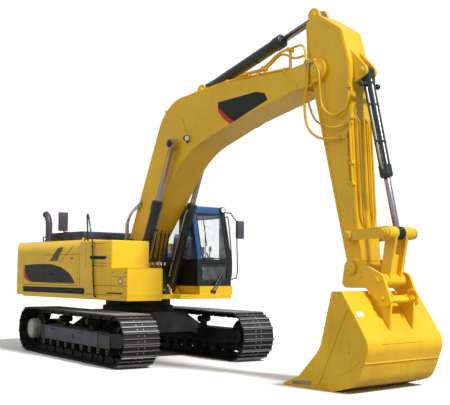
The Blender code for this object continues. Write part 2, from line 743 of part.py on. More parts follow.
def counterweight():
    """The cast counterweight; its rear follows the tail radius about the swing axis."""
    reach = 1.05
    turn = asin(reach / TAIL_RADIUS)
    rear = [(-TAIL_RADIUS * cos(a), TAIL_RADIUS * sin(a))
            for a in (turn - 2 * turn * step / 10 for step in range(11))]
    plan = [(REAR_SPLIT, HALF_UPPER), (REAR_SPLIT - 0.30, HALF_UPPER), *rear,
            (REAR_SPLIT - 0.30, -HALF_UPPER), (REAR_SPLIT, -HALF_UPPER)]
    weight = slab("counterweight", plan, (DECK_BOTTOM + 0.03, HOUSING_TOP + 0.01), YELLOW, SWING)
    profile = bulkhead("counterweight_profile", housing_profile(0.0, DECK_BOTTOM),
                       (-TAIL_RADIUS - 0.1, REAR_SPLIT + 0.1), YELLOW, SWING)
    return shape(weight, [profile], "INTERSECT")


def engine():
    """The engine as one block at its place, across the machine."""
    half = Vector(ENGINE_SIZE) / 2
    return box("engine", (ENGINE_X - half.x, ENGINE_X + half.x), (-half.y, half.y),
               (DECK_TOP + GAP, DECK_TOP + ENGINE_SIZE[2]), CAST_IRON, SWING)


def tank():
    """The hydraulic and fuel tank beside the boom."""
    block = box("tank", (HOUSING_FRONT + GAP, TANK_FRONT), (-HALF_UPPER, BAY_INNER),
                (DECK_TOP + GAP, TANK_TOP), YELLOW, SWING)
    return soften(block, 0.025)


def step_box():
    """The tool box in front of the tank, which is also the step up to it."""
    body = box("step_box", (TANK_FRONT + GAP, STEP_FRONT), (-HALF_UPPER, BAY_INNER - 0.06),
               (DECK_TOP + GAP, STEP_TOP), YELLOW, SWING)
    room = box("tool_room", (TANK_FRONT + BOX_WALL, STEP_FRONT - BOX_WALL),
               (-HALF_UPPER + BOX_WALL, BAY_INNER - 0.06 - BOX_WALL),
               (DECK_TOP + BOX_WALL, STEP_TOP + 0.1), YELLOW, SWING)
    cut(body, room)
    ears = []
    for y in (-HALF_UPPER, BAY_INNER - 0.06 - BOX_WALL):
        ears.append(box(f"lid_ear_{y:.2f}", (TANK_FRONT + GAP, TANK_FRONT + 0.04), (y, y + BOX_WALL),
                        (STEP_TOP - 0.02, STEP_TOP + 0.025), YELLOW, SWING))
    return join(body, *ears)


def tool_lid():
    """The lid of the tool box, hinged between two ears along the tank."""
    span = (-HALF_UPPER + BOX_WALL, BAY_INNER - 0.06 - BOX_WALL)
    hinge = (TANK_FRONT + 0.022, STEP_TOP + 0.013)
    axis = empty("tool_lid_axis", (hinge[0], 0.0, hinge[1]), SWING)
    lid = box("tool_lid", (hinge[0], STEP_FRONT), (span[0] + 0.003, span[1] - 0.003),
              (STEP_TOP + 0.005, STEP_TOP + 0.021), YELLOW, axis)
    pin = crosswise("tool_lid_pin", PIN_RADIUS, hinge, (span[0] + GAP, span[1] - GAP),
                    YELLOW, axis, 12)
    return join(lid, pin)


def exhaust():
    """The bent exhaust pipe, which stands on the housing beside the hood."""
    x, y = EXHAUST_PLACE
    foot = HOUSING_TOP + GAP
    pipe = cylinder("exhaust", EXHAUST_RADIUS * 1.25, (x, y, foot), (x, y, foot + 0.03),
                    BLACK, SWING, 24)
    reach = EXHAUST_TOP - foot
    bend = [(x, y, foot + 0.01), (x, y, foot + reach * 0.60), (x - 0.03, y, foot + reach * 0.78),
            (x - 0.09, y, foot + reach * 0.90), (x - 0.17, y, foot + reach * 0.97)]
    return join(pipe, rod("exhaust_bend", EXHAUST_RADIUS, bend, BLACK, SWING))


def handrail():
    """The rail from the deck's edge up past the tank and back down onto it."""
    out = -HALF_UPPER - 0.035
    points = [(0.70, -HALF_UPPER - GAP, DECK_TOP - 0.03), (0.70, out, DECK_TOP - 0.03),
              (0.66, out, DECK_TOP + 0.25), (0.60, out, TANK_TOP),
              (0.42, out + 0.01, TANK_TOP + 0.50), (0.38, out + 0.02, TANK_TOP + 0.53),
              (0.34, out + 0.03, TANK_TOP + 0.50), (0.27, out + 0.10, TANK_TOP + 0.05),
              (0.27, out + 0.10, TANK_TOP + GAP)]
    return rod("handrail_right", 0.016, points, BLACK, SWING)


def mirror(name, arm, head, parent):
    """A mirror head on a bent arm."""
    x, y, z = head
    shell = box(name, (x - 0.035, x + 0.035), (y - 0.10, y + 0.10), (z - 0.19, z + 0.19),
                TRIM, parent)
    soften(shell, 0.02)
    return join(shell, rod(name + "_arm", 0.013, arm, BLACK, parent))


def mirrors():
    z = TANK_TOP
    mirror("mirror_right", [(0.16, -HALF_UPPER + 0.06, z + GAP), (0.16, -HALF_UPPER + 0.06, z + 0.12),
                            (0.10, -HALF_UPPER - 0.04, z + 0.16), (-0.22, -HALF_UPPER - 0.20, z + 0.19),
                            (-0.24, -HALF_UPPER - 0.20, z + 0.30)],
           (-0.24, -HALF_UPPER - 0.21, z + 0.40), SWING)
    left = CAB_Y[1]
    top, low = CAB_ROOF_FRONT - 0.06, CAB_X[1] - 0.03
    mirror("mirror_left", [(top, left + GAP, CAB_TOP - 0.10), (top, left + 0.03, CAB_TOP - 0.10),
                           (CAB_ROOF_FRONT + 0.10, left + 0.10, CAB_TOP - 0.12),
                           (1.30, left + 0.13, CAB_TOP - 0.30), (1.34, left + 0.13, 1.75),
                           (1.33, left + 0.10, CAB_BOTTOM + 0.16),
                           (low, left + 0.03, CAB_BOTTOM + 0.14), (low, left + GAP, CAB_BOTTOM + 0.14)],
           (1.32, left + 0.21, CAB_TOP - 0.48), SWING)


# ---------------------------------------------------------------------------------------------
# Cab
# ---------------------------------------------------------------------------------------------


def cab_profile(inset):
    """The cab from the side."""
    back, front = CAB_X[0] + inset, CAB_X[1] - inset
    top = CAB_TOP - inset
    radius = max(0.03, 0.10 - inset)
    return rounded([(back, CAB_BOTTOM + inset), (front, CAB_BOTTOM + inset), (front, CAB_BEND),
                    (CAB_ROOF_FRONT - inset, top, radius), (back + 0.02, top, radius)])


def windscreen_at(z):
    """The front face's x at a height."""
    if z < CAB_BEND:
        return CAB_X[1]
    share = (z - CAB_BEND) / (CAB_TOP - CAB_BEND)
    return CAB_X[1] + (CAB_ROOF_FRONT - CAB_X[1]) * share


def side_window_outline():
    """The opening in the cab's right wall."""
    low = CAB_BOTTOM + 0.55
    high = CAB_TOP - 0.16
    return rounded([(CAB_X[0] + 0.62, low, 0.04), (CAB_X[1] - 0.12, low, 0.04),
                    (windscreen_at(high) - 0.12, high, 0.06), (CAB_X[0] + 0.62, high, 0.06)])


def cab_shell():
    """The cab's frame, hollow, with its door opening and windows cut through."""
    shell = plate("cab_shell", cab_profile(0.0), CAB_Y, CAB_BLUE, SWING)
    inside = plate("cab_inside", cab_profile(CAB_WALL), (CAB_Y[0] + CAB_WALL, CAB_Y[1] - CAB_WALL),
                   CAB_BLUE, SWING)
    across = (CAB_Y[0] + CAB_PILLAR, CAB_Y[1] - CAB_PILLAR)
    upper = box("windscreen_room", (CAB_ROOF_FRONT - 0.16, CAB_X[1] + 0.1), across,
                (WAIST + 0.05, CAB_TOP - 0.15), CAB_BLUE, SWING)
    lower = box("lower_screen_room", (CAB_X[1] - 0.16, CAB_X[1] + 0.1), across,
                (CAB_BOTTOM + 0.10, WAIST - 0.03), CAB_BLUE, SWING)
    rear = box("rear_window_room", (CAB_X[0] - 0.1, CAB_X[0] + 0.16), across,
               (CAB_BOTTOM + 0.70, CAB_TOP - 0.18), CAB_BLUE, SWING)
    side = plate("side_window_room", side_window_outline(), (CAB_Y[0] - 0.1, CAB_Y[0] + 0.16),
                 CAB_BLUE, SWING)
    door = box("door_room", CAB_DOOR_X, (CAB_Y[1] - 0.16, CAB_Y[1] + 0.1), CAB_DOOR_Z,
               CAB_BLUE, SWING)
    roof = box("roof_hatch_room", (0.10, 0.80), (CAB_Y[0] + 0.20, CAB_Y[1] - 0.20),
               (CAB_TOP - 0.16, CAB_TOP + 0.1), CAB_BLUE, SWING)
    ears = [
        box(f"cab_hinge_ear_{index}", (CAB_DOOR_X[0] - 0.05, CAB_HINGE[0] + PIN_RADIUS),
            (CAB_Y[1] - 0.01, CAB_HINGE[1] + PIN_RADIUS), z, CAB_BLUE, SWING)
        for index, z in enumerate(((CAB_DOOR_Z[0] - 0.04, CAB_DOOR_Z[0]),
                                   (CAB_DOOR_Z[1], CAB_DOOR_Z[1] + 0.04)))
    ]
    return join(cut(shell, inside, upper, lower, rear, side, door, roof), *ears)


def door_front(z, inset):
    """The door's front edge, which leans back with the windscreen above the bend."""
    lean = windscreen_at(z) - CAB_X[1]
    return CAB_DOOR_X[1] - inset + min(0.0, lean + 0.12)


def cab_door():
    """The door with its own window opening, on a pin outside its rear edge."""
    pin_x, pin_y = CAB_HINGE
    axis = empty("cab_door_axis", (pin_x, pin_y, CAB_DOOR_Z[0]), SWING)
    thickness = (CAB_Y[1] - DOOR_THICKNESS, CAB_Y[1])
    door = box("cab_door", (CAB_DOOR_X[0] + PLAY, CAB_DOOR_X[1] - PLAY), thickness,
               (CAB_DOOR_Z[0] + PLAY, CAB_DOOR_Z[1] - PLAY), CAB_BLUE, axis)
    window = box("door_window_room", *door_window_box(), CAB_BLUE, axis)
    pin = cylinder("cab_door_pin", PIN_RADIUS * 0.98, (pin_x, pin_y, CAB_DOOR_Z[0] + GAP),
                   (pin_x, pin_y, CAB_DOOR_Z[1] - GAP), CAB_BLUE, axis, 12)
    leaves = [
        box(f"cab_door_leaf_{index}", (pin_x - 0.008, pin_x + 0.045),
            (CAB_Y[1] - 0.01, pin_y), (z - 0.05, z + 0.05), CAB_BLUE, axis)
        for index, z in enumerate((CAB_DOOR_Z[0] + 0.15, CAB_DOOR_Z[1] - 0.15))
    ]
    return cut(join(door, pin, *leaves), window), axis


def door_window_box(inset=0.0, depth=0.1):
    """The opening in the door, as the x, y and z of a box."""
    frame = 0.07 + inset
    middle = CAB_Y[1] - DOOR_THICKNESS / 2
    return ((CAB_DOOR_X[0] + frame, CAB_DOOR_X[1] - frame), (middle - depth / 2, middle + depth / 2),
            (WAIST + inset, CAB_DOOR_Z[1] - frame))


def glazing(door_axis):
    """The panes, each seated inside its opening."""
    across = (CAB_Y[0] + CAB_PILLAR + GAP, CAB_Y[1] - CAB_PILLAR - GAP)
    low, high = WAIST + 0.05 + GAP, CAB_TOP - 0.15 - GAP
    set_back = 0.025
    pane = [(windscreen_at(z) - set_back - d, z) for z, d in (
        (low, 0.0), (CAB_BEND, 0.0), (high, 0.0), (high, GLASS), (CAB_BEND, GLASS), (low, GLASS))]
    plate("windscreen", pane, across, GLAZING, SWING)
    box("lower_screen", (CAB_X[1] - set_back - GLASS, CAB_X[1] - set_back), across,
        (CAB_BOTTOM + 0.10 + GAP, WAIST - 0.03 - GAP), GLAZING, SWING)
    box("rear_window", (CAB_X[0] + set_back, CAB_X[0] + set_back + GLASS), across,
        (CAB_BOTTOM + 0.70 + GAP, CAB_TOP - 0.18 - GAP), GLAZING, SWING)
    inner = [(a, b) for a, b in side_window_outline()]
    middle = Vector((sum(a for a, _ in inner), sum(b for _, b in inner))) / len(inner)
    shrunk = [(a + (middle.x - a) * 0.0008, b + (middle.y - b) * 0.0008) for a, b in inner]
    plate("side_window", shrunk, (CAB_Y[0] + set_back, CAB_Y[0] + set_back + GLASS), GLAZING, SWING)
    box("door_window", *door_window_box(GAP, GLASS), GLAZING, door_axis)


def consoles():
    """The operator's platform: a pedestal with an armrest console on each side of the seat."""
    x, y = SEAT_CENTRE
    floor = CAB_BOTTOM + CAB_WALL + GAP
    base = box("consoles", (x - 0.25, x + 0.25), (y - 0.36, y + 0.36), (floor, floor + 0.20),
               TRIM, SWING)
    boxes = []
    for hand in (-1, 1):
        console_y = sorted((y + hand * 0.28, y + hand * 0.38))
        boxes.append(box(f"console_{hand}", (x - 0.22, x + 0.42), console_y,
                         (floor + 0.10, floor + 0.55), TRIM, SWING))
    return join(base, *boxes)


def seat():
    """The seat's cushion and back in one."""
    x, y = SEAT_CENTRE
    base = CAB_BOTTOM + CAB_WALL + 0.20 + 2 * GAP
    outline = rounded([(x - 0.22, base), (x + 0.26, base), (x + 0.28, base + 0.18, 0.06),
                       (x - 0.10, base + 0.15, 0.03), (x - 0.20, base + 0.82, 0.06),
                       (x - 0.33, base + 0.82, 0.05)])
    return plate("seat", outline, (y - 0.25, y + 0.25), CLOTH, SWING)


# ---------------------------------------------------------------------------------------------
# Boom, stick and bucket
# ---------------------------------------------------------------------------------------------


def in_plane(transform, corners):
    """Corners given in a bar's own u and v, as (x, z) corners with the same radii."""
    placed = []
    for corner in corners:
        point = transform(corner[0], corner[1])
        placed.append((point.x, point.z, *corner[2:]))
    return placed


def boom():
    """The one-piece boom: a bent box, its foot boss, the cheeks at its nose and its lugs."""
    end = BOOM_LENGTH
    corners = in_plane(on_boom, [
        (-0.02, 0.16, 0.10), (BOOM_KNEE[0], BOOM_KNEE[1], 0.80), (end - 1.85, 1.28, 3.0),
        (end - 0.62, 0.50), (end - 0.46, 0.10), (end - 0.46, -0.02), (end - 1.95, 0.50, 1.5),
        (BOOM_BELLY[0], BOOM_BELLY[1], 1.70), (0.90, 0.22), (0.16, -0.06, 0.06)])
    half = BOOM_WIDTH / 2
    body = plate("boom", rounded(corners, 6), (-half, half), YELLOW, BOOM_AXIS)
    pieces = [crosswise("boom_foot", BOOM_FOOT_RADIUS, BOOM_FOOT,
                        (-BOOM_FOOT_WIDTH / 2, BOOM_FOOT_WIDTH / 2), YELLOW, BOOM_AXIS)]
    gap = STICK_WIDTH / 2 + GAP
    for hand in (-1, 1):
        cheek_y = sorted((hand * gap, hand * (gap + NOSE_CHEEK)))
        nose = on_boom(end, 0.0)
        top = on_boom(end - 0.90, 0.48)
        low = on_boom(end - 0.90, 0.26)
        pieces.append(plate(f"nose_cheek_{hand}", around([
            (nose.x, nose.z, NOSE_RADIUS), (top.x, top.z, 0.12), (low.x, low.z, 0.12)]),
            cheek_y, YELLOW, BOOM_AXIS))
        boss_y = sorted((hand * (half - 0.02),
                         hand * (BOOM_CYLINDER_SPACING / 2 - EYE_WIDTH / 2 - GAP)))
        pieces.append(crosswise(f"cylinder_boss_{hand}", 0.13, BOOM_CYLINDER_PIN, boss_y,
                                YELLOW, BOOM_AXIS))
        lug_y = sorted(hand * (EYE_WIDTH / 2 + GAP + d) for d in (0.0, 0.04))
        front = on_boom(STICK_CYLINDER_ON_BOOM[0] + 0.05, STICK_CYLINDER_ON_BOOM[1] - 0.30)
        rear = on_boom(STICK_CYLINDER_ON_BOOM[0] - 0.32, STICK_CYLINDER_ON_BOOM[1] - 0.10)
        pieces.append(plate(f"stick_cylinder_lug_{hand}", around([
            (STICK_CYLINDER_PIN.x, STICK_CYLINDER_PIN.z, 0.12), (front.x, front.z, 0.05),
            (rear.x, rear.z, 0.05)]), lug_y, YELLOW, BOOM_AXIS))
    return join(body, *pieces)


def stick():
    """The stick: a tapering box with the ears for its own cylinder and the bucket cylinder."""
    end = STICK_LENGTH
    tail = -STICK_TAIL
    base_u, base_v = BUCKET_CYLINDER_ON_STICK
    front_v = 0.60
    corners = in_plane(on_stick, [
        (tail + 0.12, -0.10, 0.06), (tail + 0.12, 0.20), (-0.475, front_v, 0.15),
        (0.10, front_v + 0.02, 0.5), (2.38, 0.215), (end - 0.10, 0.13), (end, 0.05),
        (end, -0.08), (end - 0.19, -0.165), (0.25, -0.20), (-0.30, -0.21, 0.15)])
    half = STICK_WIDTH / 2
    body = plate("stick", rounded(corners), (-half, half), YELLOW, STICK_AXIS)
    pieces = [
        crosswise("stick_pivot", NOSE_RADIUS, BOOM_NOSE, (-half, half), YELLOW, STICK_AXIS),
        crosswise("stick_tip", STICK_TIP_RADIUS, BUCKET_PIN, (-half, half), YELLOW, STICK_AXIS),
        crosswise("idler_boss", 0.10, IDLER_PIN, (-half - 0.02, half + 0.02), YELLOW, STICK_AXIS),
    ]
    base = on_stick(base_u, base_v)
    foot_a = on_stick(base_u - 0.42, front_v - 0.02)
    foot_b = on_stick(base_u + 0.10, front_v - 0.08)
    tail_in = on_stick(tail + 0.34, 0.05)
    for hand in (-1, 1):
        ear_y = sorted(hand * (EYE_WIDTH / 2 + GAP + d) for d in (0.0, 0.05))
        pieces.append(plate(f"tail_ear_{hand}", around([
            (STICK_TAIL_PIN.x, STICK_TAIL_PIN.z, 0.12), (tail_in.x, tail_in.z, 0.12)]),
            ear_y, YELLOW, STICK_AXIS))
        pieces.append(plate(f"bucket_cylinder_lug_{hand}", around([
            (base.x, base.z, 0.10), (foot_a.x, foot_a.z, 0.03), (foot_b.x, foot_b.z, 0.03)]),
            ear_y, YELLOW, STICK_AXIS))
    join(body, *pieces)
    bores = [
        crosswise("bucket_pin_bore", BUCKET_PIN_RADIUS + PIN_PLAY, BUCKET_PIN, (-1, 1),
                  YELLOW, STICK_AXIS),
        crosswise("idler_pin_bore", IDLER_PIN_RADIUS + PIN_PLAY, IDLER_PIN, (-1, 1),
                  YELLOW, STICK_AXIS),
    ]
    throat = around([(STICK_TAIL_PIN.x, STICK_TAIL_PIN.z, 0.19)])
    bores.append(plate("rod_eye_room", throat, (-EYE_WIDTH / 2 - GAP, EYE_WIDTH / 2 + GAP),
                       YELLOW, STICK_AXIS))
    return cut(body, *bores)


def idler_links():
    """The two idler links, joined by their pin through the stick."""
    pieces = []
    for hand in (-1, 1):
        link_y = sorted((hand * IDLER_OUTER, hand * (IDLER_OUTER - IDLER_THICKNESS)))
        pieces.append(plate(f"idler_link_{hand}", around([
            (IDLER_PIN.x, IDLER_PIN.z, 0.075), (LINK_PIN.x, LINK_PIN.z, 0.085)]),
            link_y, YELLOW, IDLER_AXIS))
        boss_y = sorted((hand * IDLER_OUTER, hand * (IDLER_OUTER - 0.13)))
        pieces.append(crosswise(f"link_stub_{hand}", 0.040, LINK_PIN, boss_y, YELLOW, IDLER_AXIS))
        collar_y = sorted((hand * (IDLER_OUTER - 0.01), hand * (STICK_WIDTH / 2 + 0.02 + GAP)))
        pieces.append(crosswise(f"idler_collar_{hand}", 0.075, IDLER_PIN, collar_y,
                                YELLOW, IDLER_AXIS))
    pin = crosswise("idler_links", IDLER_PIN_RADIUS, IDLER_PIN,
                    (-IDLER_OUTER - 0.02, IDLER_OUTER + 0.02), YELLOW, IDLER_AXIS)
    return join(pin, *pieces)


def power_link():
    """The H-shaped power link between the idler links and the coupler."""
    inner = EYE_WIDTH / 2 + GAP
    outer = IDLER_OUTER - IDLER_THICKNESS - GAP
    boss = crosswise("power_link", 0.10, POWER_PIN, (-0.235, 0.235), YELLOW, LINK_AXIS)
    pieces = []
    for hand in (-1, 1):
        arm_y = sorted((hand * (inner + 0.02), hand * (inner + 0.075)))
        pieces.append(plate(f"power_arm_{hand}", around([
            (LINK_PIN.x, LINK_PIN.z, 0.094), (POWER_PIN.x, POWER_PIN.z, 0.09)]),
            arm_y, YELLOW, LINK_AXIS))
        hub_y = sorted((hand * inner, hand * outer))
        pieces.append(crosswise(f"power_hub_{hand}", 0.10, LINK_PIN, hub_y, YELLOW, LINK_AXIS))
    web_low = POWER_PIN.lerp(LINK_PIN, 0.10)
    web_high = POWER_PIN.lerp(LINK_PIN, 0.52)
    pieces.append(plate("power_web", around([
        (web_low.x, web_low.z, 0.02), (web_high.x, web_high.z, 0.02)]),
        (-inner - 0.03, inner + 0.03), YELLOW, LINK_AXIS))
    join(boss, *pieces)
    stubs = []
    for hand in (-1, 1):
        stub_y = sorted((hand * (IDLER_OUTER + 0.1), hand * (IDLER_OUTER - 0.13 - GAP)))
        stubs.append(crosswise(f"stub_bore_{hand}", 0.0415, LINK_PIN, stub_y, YELLOW, LINK_AXIS))
    return cut(boss, *stubs)


def coupler():
    """The quick coupler: two plates, a bridge between them and the bucket pin."""
    outer = COUPLER_OUTER
    inner = COUPLER_OUTER - COUPLER_PLATE
    pin = crosswise("quick_coupler", BUCKET_PIN_RADIUS, BUCKET_PIN, (-outer - 0.03, outer + 0.03),
                    YELLOW, BUCKET_AXIS)

    def rim(*rounds):
        points = [(from_bucket_pin(dx, dz), radius) for dx, dz, radius in rounds]
        return around([(point.x, point.z, radius) for point, radius in points])

    upper = rim((0.0, 0.0, 0.15), (*COUPLER_PIN, 0.12), (-0.10, -0.21, 0.09), (0.20, -0.23, 0.07))
    lower = rim((COUPLER_PIN[0] + 0.02, COUPLER_PIN[1], 0.115), (LOWER_PIN[0], LOWER_PIN[1], 0.10),
                (0.32, -0.25, 0.07))
    pieces = []
    for hand in (-1, 1):
        plate_y = sorted((hand * (inner + 0.002), hand * outer))
        pieces.append(plate(f"coupler_rear_{hand}", upper, plate_y, YELLOW, BUCKET_AXIS))
        hook_y = sorted((hand * inner, hand * (outer + 0.002)))
        pieces.append(plate(f"coupler_hook_{hand}", lower, hook_y, YELLOW, BUCKET_AXIS))
        collar_y = sorted((hand * (inner + 0.01), hand * (STICK_WIDTH / 2 + GAP)))
        pieces.append(crosswise(f"coupler_collar_{hand}", 0.10, BUCKET_PIN, collar_y,
                                YELLOW, BUCKET_AXIS))
    pieces.append(plate("coupler_bridge", rim((-0.08, -0.22, 0.035), (0.22, -0.24, 0.035)),
                        (-inner - 0.01, inner + 0.01), YELLOW, BUCKET_AXIS))
    return join(pin, *pieces)


def bucket_outline(inset):
    """The bucket's side, drawn in by an inset except at its mouth."""
    mouth = -0.04 if inset else 0.0
    low = -BUCKET_PIN.z + 0.003 + inset
    return rounded(
        [(BUCKET_PIN.x + dx, BUCKET_PIN.z + dz, *rest) for dx, dz, *rest in [
            (0.08 + mouth, -0.345 - inset), (0.27 - inset / 2, -0.345 - inset),
            (0.53 - inset, -0.72, 0.5), (0.78 - inset, -1.10, 0.26),
            (0.55 - inset, low + 0.12, 0.30), (0.10, low),
            (-0.92 + 2 * mouth, low), (-0.92 + 2 * mouth, low + 0.03 - inset / 2),
            (-0.60 + mouth, low + 0.16), (-0.16 + mouth, -1.20, 0.4), (0.0 + mouth, -0.62)]], 5)


def bucket():
    """The wide bucket with a plain lip: a bent shell between two side plates, and its ears."""
    half = BUCKET_WIDTH / 2
    body = plate("bucket", bucket_outline(0.0), (-half, half), YELLOW, BUCKET_AXIS)
    room = plate("bucket_room", bucket_outline(BUCKET_PLATE),
                 (-half + BUCKET_PLATE, half - BUCKET_PLATE), YELLOW, BUCKET_AXIS)
    cut(body, room)
    inner = COUPLER_OUTER - COUPLER_PLATE
    ears = []
    for hand in (-1, 1):
        ear_y = sorted((hand * (inner - GAP), hand * (inner - GAP - BUCKET_EAR)))
        rear = from_bucket_pin(0.22, -0.40)
        front = from_bucket_pin(*LOWER_PIN)
        foot = from_bucket_pin(0.64, -0.95)
        ears.append(plate(f"bucket_ear_{hand}", around([
            (rear.x, rear.z, 0.03), (front.x, front.z, 0.07), (foot.x, foot.z, 0.02)]),
            ear_y, YELLOW, BUCKET_AXIS))
    pin = from_bucket_pin(*LOWER_PIN)
    ears.append(crosswise("lower_pin", 0.045, pin, (-inner + 0.01, inner - 0.01),
                          YELLOW, BUCKET_AXIS))
    return join(body, *ears)


# ---------------------------------------------------------------------------------------------
# Cylinders
# ---------------------------------------------------------------------------------------------


def barrel(name, radii, base, target, length, stroke, y, parent):
    """A cylinder barrel, bored for its rod's whole stroke, with its eye at the base."""
    radius, rod = radii
    direction = (target - base).normalized()
    offset = Vector((0.0, y, 0.0))
    start = base + direction * BARREL_START
    end = base + offset + direction * length
    tube = cylinder(name, radius, start + offset, end, BLACK, parent)
    gland = cylinder(name + "_gland", radius * 1.14, end - direction * 0.16, end, BLACK, parent)
    eye = plate(name + "_eye", around([
        (base.x, base.z, radius * 0.95), (start.x, start.z, radius * 0.8)]),
        (y - EYE_WIDTH / 2, y + EYE_WIDTH / 2), BLACK, parent)
    depth = sum(stroke) + ROD_HELD + 0.02
    bore = cylinder(name + "_bore", rod + GAP, end - direction * depth, end + direction * 0.05,
                    BLACK, parent)
    return cut(join(tube, gland, eye), bore)


def piston(name, radii, base, target, length, stroke, y, parent):
    """The rod, from inside its barrel to its eye."""
    rod = radii[1]
    direction = (target - base).normalized()
    offset = Vector((0.0, y, 0.0))
    inner = length - stroke[1] - ROD_HELD
    bar = cylinder(name, rod, base + offset + direction * inner, target + offset, CHROME, parent)
    eye = crosswise(name + "_eye", rod * 1.75, target,
                    (y - EYE_WIDTH / 2, y + EYE_WIDTH / 2), BLACK, parent)
    return join(bar, eye)


def cylinders():
    """The two boom cylinders, the stick cylinder and the bucket cylinder."""
    for side, sign in SIDES.items():
        boom = ((BOOM_BARREL, BOOM_ROD), BOOM_CYLINDER_FOOT, BOOM_CYLINDER_PIN, BOOM_BARREL_LENGTH,
                BOOM_STROKE, sign * BOOM_CYLINDER_SPACING / 2, BOOM_CYLINDER_AXIS)
        barrel("boom_barrel_" + side, *boom)
        piston("boom_rod_" + side, *boom)
    on_boom_back = ((STICK_BARREL, STICK_ROD), STICK_CYLINDER_PIN, STICK_TAIL_PIN,
                    STICK_BARREL_LENGTH, STICK_STROKE, 0.0, STICK_CYLINDER_AXIS)
    barrel("stick_barrel", *on_boom_back)
    piston("stick_rod", *on_boom_back)
    on_stick_front = ((BUCKET_BARREL, BUCKET_ROD), BUCKET_CYLINDER_PIN, LINK_PIN,
                      BUCKET_BARREL_LENGTH, BUCKET_STROKE, 0.0, BUCKET_CYLINDER_AXIS)
    barrel("bucket_barrel", *on_stick_front)
    piston("bucket_rod", *on_stick_front)


# ---------------------------------------------------------------------------------------------
# The machine
# ---------------------------------------------------------------------------------------------

undercarriage()
revolving_frame()
counterweight()
engine_housing()
engine_hood()
side_door("right_access_door", RIGHT_DOOR_X, -1, YELLOW)
side_door("left_access_door", LEFT_DOOR_X, 1, YELLOW)
engine()
tank()
step_box()
tool_lid()
exhaust()
handrail()
mirrors()
cab_shell()
_, DOOR_AXIS = cab_door()
glazing(DOOR_AXIS)
consoles()
seat()
boom()
stick()
idler_links()
power_link()
coupler()
bucket()
cylinders()
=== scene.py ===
import json
from math import cos, pi, radians, sin

import bmesh
import bpy
from mathutils import Matrix, Vector
from mathutils.bvhtree import BVHTree


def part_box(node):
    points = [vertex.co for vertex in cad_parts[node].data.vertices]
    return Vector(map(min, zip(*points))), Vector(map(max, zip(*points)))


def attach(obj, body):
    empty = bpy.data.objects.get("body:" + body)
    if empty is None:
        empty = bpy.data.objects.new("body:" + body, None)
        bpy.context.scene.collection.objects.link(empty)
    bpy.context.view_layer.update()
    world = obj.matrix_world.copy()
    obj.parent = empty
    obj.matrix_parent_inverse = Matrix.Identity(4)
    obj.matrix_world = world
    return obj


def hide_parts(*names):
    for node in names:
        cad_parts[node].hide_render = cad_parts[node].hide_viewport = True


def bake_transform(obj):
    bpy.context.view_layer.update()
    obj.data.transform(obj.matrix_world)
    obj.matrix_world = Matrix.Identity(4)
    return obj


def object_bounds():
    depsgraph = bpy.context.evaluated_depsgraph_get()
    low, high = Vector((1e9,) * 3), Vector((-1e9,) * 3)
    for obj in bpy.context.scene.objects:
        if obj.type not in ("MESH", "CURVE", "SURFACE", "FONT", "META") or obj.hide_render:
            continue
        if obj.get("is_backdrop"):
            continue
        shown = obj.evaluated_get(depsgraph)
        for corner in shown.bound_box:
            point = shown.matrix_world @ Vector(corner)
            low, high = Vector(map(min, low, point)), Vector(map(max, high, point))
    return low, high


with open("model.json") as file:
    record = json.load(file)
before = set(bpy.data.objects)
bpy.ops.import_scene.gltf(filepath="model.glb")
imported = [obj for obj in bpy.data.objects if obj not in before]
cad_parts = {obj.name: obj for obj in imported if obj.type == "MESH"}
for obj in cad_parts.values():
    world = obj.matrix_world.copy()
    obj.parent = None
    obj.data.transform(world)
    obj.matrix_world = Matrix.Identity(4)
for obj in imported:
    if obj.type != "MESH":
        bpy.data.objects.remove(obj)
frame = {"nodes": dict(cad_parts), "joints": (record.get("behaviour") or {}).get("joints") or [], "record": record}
cad_low, cad_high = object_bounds()
nodes = frame["nodes"]
pins = {joint["name"]: Vector(joint["pos_m"]) for joint in frame["joints"] if "pos_m" in joint}


# ---------------------------------------------------------------------------------------------
# Floor, light and camera
# A pale sheet of studio paper on the ground, a strong lamp high in front of the machine and a
# weak, very soft one to its right.
# ---------------------------------------------------------------------------------------------

def linear(code):
    """An sRGB hex colour as linear red, green, blue and alpha."""
    parts = [int(code[index:index + 2], 16) / 255 for index in (1, 3, 5)]
    return (*[part / 12.92 if part <= 0.04045 else ((part + 0.055) / 1.055) ** 2.4
              for part in parts], 1.0)


def add(tree, kind, settings=None, **inputs):
    """A node of a kind with its settings; each input takes a value or another node's output."""
    node = tree.nodes.new(kind)
    for name, value in (settings or {}).items():
        setattr(node, name, value)
    for name, value in inputs.items():
        key = int(name[1:]) if name[1:].isdigit() else name.replace("_", " ")
        socket = node.inputs[key]
        if isinstance(value, bpy.types.NodeSocket):
            tree.links.new(value, socket)
        else:
            socket.default_value = value
    return node


def new_material(name):
    """An empty material with its output, and the node tree to fill."""
    material = bpy.data.materials.new(name)
    material.use_nodes = True
    tree = material.node_tree
    tree.nodes.remove(tree.nodes["Principled BSDF"])
    return material, tree, tree.nodes["Material Output"]


# matt seamless paper: almost white, with the faintest cloudiness of a rolled sheet
paper, tree, output = new_material("seamless_paper")
cloud = add(tree, "ShaderNodeTexNoise", Scale=0.15, Detail=1.0)
tone = add(tree, "ShaderNodeMix", {"data_type": "RGBA"}, i0=cloud.outputs["Fac"],
           i6=linear("#FEFEFE"), i7=linear("#FAFAFB"))
# the sheet throws back little light on to the machine, so that undersides stay deep
path = add(tree, "ShaderNodeLightPath")
thrown = add(tree, "ShaderNodeMix", {"data_type": "RGBA"}, i0=path.outputs["Is Camera Ray"],
             i6=linear("#96948E"), i7=tone.outputs[2])
matt = add(tree, "ShaderNodeBsdfPrincipled", Base_Color=thrown.outputs[2], Roughness=0.9)
tree.links.new(matt.outputs[0], output.inputs["Surface"])

